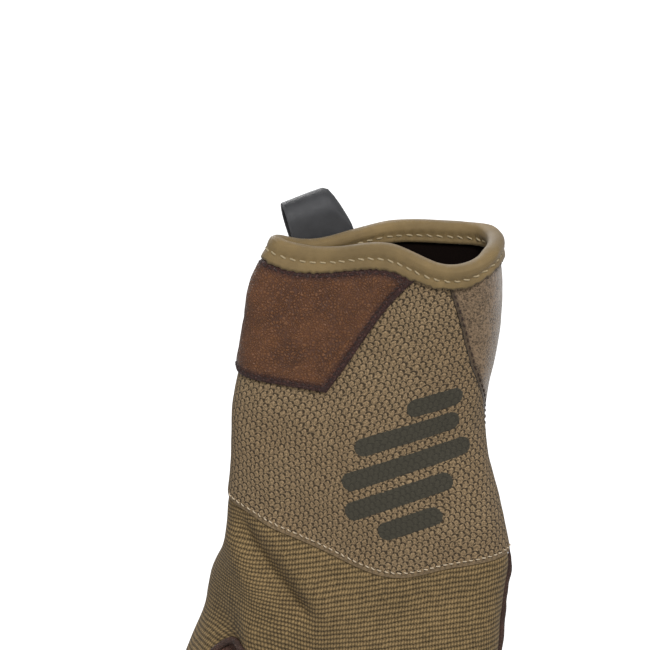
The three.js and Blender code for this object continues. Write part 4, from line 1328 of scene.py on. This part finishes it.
class GLOVE_OT_rim_binding(GloveOperator):
    """Tape folded over the rim, with its rows of top-stitching"""
    bl_idname = "glove.rim_binding"
    bl_label = "Rim Binding"

    stations = 420
    inner_drop = 3.8
    stitch_drop = 3.0
    inner_stitch_drop = 2.2
    height = 1.32

    def execute(self, context):
        drop = sizes().binding_drop
        inner_drop = self.inner_drop
        out = self.height
        within = -sizes().mesh_wall - self.height
        middle, half = (out + within) / 2, (out - within) / 2
        profile = [(drop + 0.05, 0.3), (drop + 0.12, 0.75), (drop, 1.15)]
        profile += [(drop - share * drop, out) for share in np.linspace(0.08, 0.98, 14)]
        profile += [(-1.5 * math.sin(a), middle + half * math.cos(a)) for a in np.linspace(0, math.pi, 13)]
        profile += [(share * inner_drop, within) for share in np.linspace(0.12, 0.94, 7)]
        profile += [(inner_drop, within + 0.3), (inner_drop, within + 1.0)]
        profile += [(-0.3, within + 1.0), (-0.3, 0.3)]
        profile = np.array(profile)
        around = np.linspace(0, COLUMNS, self.stations, endpoint=False)
        rings = self.place(around, profile)
        on_back = profile[:, 1] > 0
        edge = np.minimum(np.abs(profile[:, 0] - drop), np.abs(profile[:, 0] - inner_drop) + 2 * on_back)
        obj = make_object("rim_tape", rings.reshape(-1, 3), grid_faces(*rings.shape[:2], closed=True),
                          values={"edge_mm": np.tile(edge, self.stations)}, materials=(binding_tape(),))
        finish_piece(obj, "binding_tape", "rim_binding")
        self.sew("rim_stitches_outer", self.stitch_drop, out - 0.02, 1)
        self.sew("rim_stitches_inner", self.inner_stitch_drop, within + 0.02, -1)
        return {"FINISHED"}

    def sew(self, name, drop, height, side):
        """A row of stitches all round the rim, a given drop below it, outside or inside the cuff."""
        around = np.linspace(0, COLUMNS, 900)
        path = self.place(around, np.array([(drop, height)]))[:, 0]
        _, normal, _ = cuff_frame(around, down_for_drop(around, drop))
        stitches(name, path, normal * side, sizes().binding_stitch, 0.62, 0.27, thread("cream_thread"),
                 "binding_tape", rise=0.2, skew=0.2)

    def place(self, around, profile):
        """Points of the tape: drop down from the rim and height out from the cuff, with its puckers."""
        full_drop = sizes().binding_drop
        rise = np.interp(around, *zip(*RIM_RISE))
        rim, _, down_way = cuff_frame(around, np.zeros_like(around))
        length = lengths_along(cuff_point(around, 0))
        pucker = 0.5 + 0.5 * np.cos(2 * math.pi * length / sizes().binding_stitch)
        slow = rumple(rim, 7, 0.4, 4)
        narrow = 1 - 0.24 * np.exp(-(((around - 9.3) / 1.3) ** 2))
        ragged = rumple(rim, 1.2, 0.65, 5)
        rings = np.empty((len(around), len(profile), 3))
        for k, (drop, height) in enumerate(profile):
            outside = height > 0
            groove_at = self.stitch_drop if outside else self.inner_stitch_drop
            groove = math.exp(-((drop - groove_at) / 0.75) ** 2)
            sign = 1 if height > -1 else -1
            dent = sign * (groove * (0.2 + 0.3 * pucker) - slow * (0.5 if drop > 0.5 else 0.9))
            belly = sign * 0.28 * math.exp(-((drop - 0.8) / 1.5) ** 2) if drop >= 0 else 0
            leaf = full_drop if height > -1 else self.inner_drop * 1.45
            lowered = drop * narrow if outside and drop > 0 else drop
            lowered = lowered - rise * np.clip(1 - max(drop, 0) / leaf, 0, 1)
            if outside and drop > full_drop - 0.5:
                lowered = lowered + ragged
            point, normal, _ = cuff_frame(around, down_for_drop(around, np.maximum(lowered, 0)))
            above = np.minimum(lowered, 0)[:, None]
            rings[:, k] = point + normal * (height - dent + belly)[:, None] + down_way * above
        return rings


class GLOVE_OT_wrist_tab(GloveOperator):
    """Leather tab sewn flat round the thumb side of the cuff"""
    bl_idname = "glove.wrist_tab"
    bl_label = "Wrist Tab"

    def execute(self, context):
        rows, columns = 90, 130
        v = np.linspace(0, 1, rows)[:, None]
        right = TAB_TOP_RIGHT + (TAB_BOTTOM_RIGHT - TAB_TOP_RIGHT) * v
        around = TAB_LEFT + (right - TAB_LEFT) * np.linspace(0, 1, columns)[None]
        top = down_for_drop(around, np.full(around.shape, sizes().binding_drop - 1.2))
        foot = TAB_FOOT - TAB_FOOT_SLANT * np.clip(around / TAB_BOTTOM_RIGHT, 0, 1)
        bottom = down_for_height(around, foot)
        down = top + (bottom - top) * v
        point, normal, _ = cuff_frame(around, down)
        shape = point.shape[:2]
        normals = normal.reshape(-1, 3)
        points = point.reshape(-1, 3) + normals * rumple(point, 16, 0.4, 1).reshape(-1, 1)
        grid = np.arange(len(points)).reshape(shape)
        rim = np.unique(np.concatenate([grid[-1], grid[:, 0], grid[:, -1]]))
        band = down_for_drop(around[0], np.full(around.shape[1], sizes().binding_drop - 0.3))
        top_line = cuff_frame(around[0], band)[0]
        edge = distance_to(points, np.concatenate([points[rim], top_line]))
        # The tab thins out where it runs under the binding.
        bare = (np.clip((v * 34 - 1.2) / 1.6, 0, 1) * np.ones(shape)).ravel()
        lift = 0.25 + 0.1 * bare
        wall = sizes().tab_wall * (0.35 + 0.45 * bare)
        groove = 0.28 * np.exp(-(((edge - TAB_STITCH_INSET - 0.05) / 0.45) ** 2))
        swell = 0.3 * (1 - np.exp(-((edge / 6) ** 2)))
        round_off = 0.5 * np.exp(-((edge / 0.45) ** 2))
        rough = rumple(points, 9, 0.42, 6) + rumple(points, 3.0, 0.16, 7)
        outer = points + normals * (lift + wall + (swell - groove - round_off + rough) * bare)[:, None]
        inner = points + normals * lift[:, None]
        uv = np.stack([around * 5, point[..., 2]], axis=-1).reshape(-1, 2)
        obj = shell("wrist_tab_leather", outer, inner, grid_faces(*shape), uv, edge,
                    tab_leather(), leather_inside())
        finish_piece(obj, "tab_leather", "wrist_tab")
        self.sew(outer.reshape(*shape, 3), normal, edge.reshape(shape))
        return {"FINISHED"}

    def sew(self, outer, normal, edge):
        """Dark stitches along the foot, the slanted end and the top, all as far in from the edge."""
        rows, columns = edge.shape

        def first_inset(line, start, stop):
            return start + int(np.argmin(np.abs(line[start:stop] - TAB_STITCH_INSET)))

        foot_row = first_inset(edge[:, columns // 2], rows * 3 // 4, rows)
        end_column = first_inset(edge[rows // 2], columns * 3 // 4, columns)
        top_row = first_inset(edge[:, columns // 2], rows // 16, rows // 4)
        foot = [(foot_row, j) for j in range(6, end_column + 1)]
        slant = [(i, end_column) for i in range(foot_row, top_row, -1)]
        top = [(top_row, j) for j in range(end_column, 6, -1)]
        for name, line in (("tab_stitches_edge", foot + slant), ("tab_stitches_top", top)):
            i, j = np.array(line).T
            stitches(name, outer[i, j], normal[i, j], 1.9, 0.6, 0.24,
                     thread("tab_thread"), "tab_leather", skew=0.14)


class GLOVE_OT_seam_stitches(GloveOperator):
    """Cream stitches along the mesh's lower edge, and the dark seam of the suede's wedge"""
    bl_idname = "glove.seam_stitches"
    bl_label = "Seam Stitches"

    # The columns that the hem's stitches run between, and the part of the wedge's edge that is sewn.
    hem_columns = (0.4, 9.85)
    wedge_part = (0.1, 0.72)

    def execute(self, context):
        around = np.linspace(*self.hem_columns, 500)
        rows = np.linspace(SEAM_ROW, 6.2, 40)
        from_seam = lengths_along(cuff_point(around[:, None], rows))
        down = row_where(around, rows, from_seam, HEM_STITCH_DROP)
        point, normal, _ = cuff_frame(around, down)
        height = cuff_rumple(point) + HEM_LIFT * math.exp(-(HEM_STITCH_RISE_AT / HEM_REACH) ** 2) + 0.04
        path = point + normal * height[:, None]
        stitches("seam_stitches_cuff", path, normal, sizes().seam_stitch, 0.64, 0.21,
                 thread("seam_thread"), "spacer_mesh", rise=0.18, skew=0.12)
        v = np.linspace(*self.wedge_part, 300)
        column = np.interp(v, *zip(*HEEL_EDGE)) + 0.12
        point, normal, _ = cuff_frame(column, v * SEAM_ROW)
        path = point + normal * (cuff_rumple(point) - 0.1)[:, None]
        stitches("seam_stitches_wedge", path, normal, 2.4, 0.55, 0.2,
                 thread("dark_thread"), "heel_suede", rise=0.12)
        return {"FINISHED"}


class GLOVE_OT_hang_loop(GloveOperator):
    """Rubbered strap folded into an eye and sewn to the palm side of the rim"""
    bl_idname = "glove.hang_loop"
    bl_label = "Hang Loop"

    width = 19.0
    strap = 1.2
    corner = 0.35
    eye_half = 4.0
    eye_depth = 13.0
    foot = 31.0
    peak_at = 3.0
    peak_rise = 3.4
    left_fall = 1.6
    right_fall = 16.0
    roll = 0.14
    yaw = 0.19

    def route(self):
        """The strap's middle line in Y and Z, from the inner leg's foot over the crown to the outer's."""
        half, strap = self.eye_half, self.strap
        inner = -half - strap / 2
        outer = -half + strap / 2
        line = [(inner, z) for z in np.linspace(-self.foot, -half, 30)]
        radius = half + strap / 2
        arc = np.linspace(0.12, math.pi, 18)
        line += [(-radius * math.cos(a), -half + radius * math.sin(a)) for a in arc]
        t = np.linspace(0.08, 1, 16)[:, None]
        a, b, c, d = np.array([
            (radius, -half), (radius, -self.eye_depth * 0.7),
            (outer + 0.4 * strap, -self.eye_depth), (outer, -self.eye_depth - strap * 1.4)])
        s = 1 - t
        line += (s ** 3 * a + 3 * s ** 2 * t * b + 3 * s * t ** 2 * c + t ** 3 * d).tolist()
        line += [(outer, z) for z in np.linspace(-self.eye_depth - strap * 1.8, -self.foot, 22)]
        return np.array(line)

    def execute(self, context):
        line = self.route()
        tangent = unit(np.gradient(line, axis=0))
        normal = np.stack([-tangent[:, 1], tangent[:, 0]], axis=-1)
        half_width = self.width / 2
        section = self.section(half_width, self.strap / 2)
        points = np.empty((len(line), len(section), 3))
        points[..., 0] = section[:, 0]
        points[..., 1:] = line[:, None] + normal[:, None] * section[:, 1, None]
        flat = points.reshape(-1, 3)
        # The crown has a blunt peak right of its middle, and falls off to both sides.
        near_crown = np.clip((flat[:, 2] + self.eye_depth) / self.eye_depth, 0, 1.15)
        across = (flat[:, 0] - self.peak_at) / half_width
        fall = np.where(across > 0, self.right_fall, self.left_fall) * np.abs(across) ** 1.25
        flat[:, 2] += near_crown * (self.peak_rise - fall)
        flat[:, 1] += near_crown * rumple(flat, 9, 0.7, 9)
        flat[:, 0] -= near_crown * (np.clip(across, 0, 1) ** 2 * 1.5 + np.clip(-across, 0, 1.4) * 1.2)
        edge = np.tile(half_width - np.abs(section[:, 0]), len(line))
        obj = make_object("loop_strap", self.turned(flat), ring_faces(*points.shape[:2]),
                          values={"edge_mm": edge}, materials=(loop_rubber(),))
        finish_piece(obj, "loop_rubber", "hang_loop")
        self.sew()
        return {"FINISHED"}

    def section(self, half_width, half):
        """The strap's outline across its length, with rounded corners."""
        inset = self.corner
        outline = [(half_width - inset + inset * math.cos(a), half - inset + inset * math.sin(a))
                   for a in np.linspace(0, math.pi / 2, 4)]
        outline += [(x, half) for x in np.linspace(half_width - 1.2, 1.2 - half_width, 12)]
        outline += [(-half_width + inset - inset * math.sin(a), half - inset + inset * math.cos(a))
                    for a in np.linspace(0, math.pi / 2, 4)]
        return np.concatenate([outline, -np.array(outline)])

    def turned(self, points):
        """The loop's own axes turned into the glove's."""
        cos, sin = math.cos(self.roll), math.sin(self.roll)
        about_y = np.array([(cos, 0, -sin), (0, 1, 0), (sin, 0, cos)])
        cos, sin = math.cos(self.yaw), math.sin(self.yaw)
        about_z = np.array([(cos, -sin, 0), (sin, cos, 0), (0, 0, 1)])
        return points @ (about_y @ about_z).T

    def sew(self):
        """A box of stitches with a cross on the foot."""
        face_y = -self.eye_half + self.strap + 0.02
        left, right, high, low = -7.4, 7.4, -17.5, -28.5
        corners = [(left, high), (right, high), (right, low), (left, low),
                   (left, high), (right, low), (right, high), (left, low)]
        path = []
        for (x0, z0), (x1, z1) in zip(corners, corners[1:]):
            for t in np.linspace(0, 1, 24, endpoint=False):
                path.append((x0 + (x1 - x0) * t, face_y, z0 + (z1 - z0) * t))
        path = self.turned(np.array(path))
        normals = self.turned(np.tile([0.0, 1.0, 0.0], (len(path), 1)))
        stitches("loop_stitches", path, normals, 2.2, 0.6, 0.22,
                 thread("dark_thread"), "loop_rubber", rise=0.12)


class GLOVE_OT_stage(GloveOperator):
    """Pale floor, soft studio light and the camera"""
    bl_idname = "glove.stage"
    bl_label = "Stage"

    distance = 1.3
    elevation = math.radians(15)
    frame_width = 0.195
    target = (0.0021, -0.027, -0.0307)
    floor_height = -1.5
    floor_half = 30
    ambient = 0.5
    lamp_aim = Vector((0.01, -0.02, -0.08))

    def execute(self, context):
        self.floor()
        self.lights()
        camera = bpy.data.objects.new("camera", bpy.data.cameras.new("camera"))
        context.scene.collection.objects.link(camera)
        camera.data.lens = camera.data.sensor_width * self.distance / self.frame_width
        camera.data.clip_end = 80
        back = self.distance * math.cos(self.elevation)
        up = self.distance * math.sin(self.elevation)
        x, y, z = self.target
        camera.location = (x, y - back, z + up)
        camera.rotation_euler = (math.pi / 2 - self.elevation, 0, 0)
        context.scene.camera = camera
        context.scene.view_settings.view_transform = "Standard"
        return {"FINISHED"}

    def floor(self):
        """A wide pale floor, lit evenly like studio paper."""
        half = self.floor_half
        corners = ((-half, -half), (half, -half), (half, half), (-half, half))
        points = np.array([(x, y, self.floor_height) for x, y in corners])
        material, n, shader = new_material("floor_paper", Roughness=0.95, Specular_IOR_Level=0.1,
                                           Emission_Color=(1, 1, 1, 1), Emission_Strength=0.85)
        n.put(shader["Base Color"], (0.9, 0.9, 0.9, 1))
        obj = make_object("floor", points / MM, [(0, 1, 2, 3)], materials=(material,))
        obj.visible_diffuse = False
        obj.visible_glossy = False

    def lights(self):
        world = bpy.context.scene.world or bpy.data.worlds.new("studio")
        bpy.context.scene.world = world
        world.use_nodes = True
        n = Nodes(world.node_tree)
        sky = world.node_tree.nodes["Background"]
        sky.inputs["Color"].default_value = (1, 1, 1, 1)
        seen = n.made("ShaderNodeLightPath", {}, "Is Camera Ray")
        n.put(sky.inputs["Strength"], seen * (1 - self.ambient) + self.ambient)
        # Name, place, size and power.
        lamps = [
            ("key", (0.3, -0.95, 0.85), 0.35, 13.5),
            ("fill", (-0.7, -1.1, 0.3), 0.8, 2.4),
            ("back", (-0.4, 1.1, 0.6), 0.6, 8.0),
        ]
        for name, place, size, power in lamps:
            data = bpy.data.lights.new(name, "AREA")
            data.size = size
            data.energy = power
            lamp = bpy.data.objects.new(name, data)
            bpy.context.scene.collection.objects.link(lamp)
            lamp.location = place
            lamp.rotation_euler = (self.lamp_aim - lamp.location).to_track_quat("-Z", "Y").to_euler()


class GLOVE_PT_pieces(bpy.types.Panel):
    """Lists the glove's pieces, sizes and colours"""
    bl_label = "Tactical Glove"
    bl_idname = "GLOVE_PT_pieces"
    bl_space_type = "VIEW_3D"
    bl_region_type = "UI"
    bl_category = "Glove"

    def draw(self, context):
        layout = self.layout
        for operator in PIECES:
            layout.operator(operator.bl_idname)
        for group in (context.scene.glove_sizes, context.scene.glove_colours):
            box = layout.box()
            for key in group.bl_rna.properties.keys():
                if key not in ("rna_type", "name"):
                    box.prop(group, key)


PIECES = [
    GLOVE_OT_knit_back, GLOVE_OT_leather_palm, GLOVE_OT_mesh_cuff, GLOVE_OT_suede_heel,
    GLOVE_OT_rim_binding, GLOVE_OT_wrist_tab, GLOVE_OT_seam_stitches, GLOVE_OT_hang_loop, GLOVE_OT_stage,
]
CLASSES = [GloveSizes, GloveColours, *PIECES, GLOVE_PT_pieces]


def register():
    for cls in CLASSES:
        bpy.utils.register_class(cls)
    bpy.types.Scene.glove_sizes = bpy.props.PointerProperty(type=GloveSizes)
    bpy.types.Scene.glove_colours = bpy.props.PointerProperty(type=GloveColours)


def unregister():
    del bpy.types.Scene.glove_colours
    del bpy.types.Scene.glove_sizes
    for cls in reversed(CLASSES):
        bpy.utils.unregister_class(cls)


def main():
    register()
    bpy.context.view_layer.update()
    bpy.ops.glove.knit_back()
    bpy.ops.glove.leather_palm()
    bpy.ops.glove.mesh_cuff()
    bpy.ops.glove.suede_heel()
    bpy.ops.glove.rim_binding()
    bpy.ops.glove.wrist_tab()
    bpy.ops.glove.seam_stitches()
    bpy.ops.glove.hang_loop()
    bpy.ops.glove.stage()


if __name__ == "__main__":
    main()
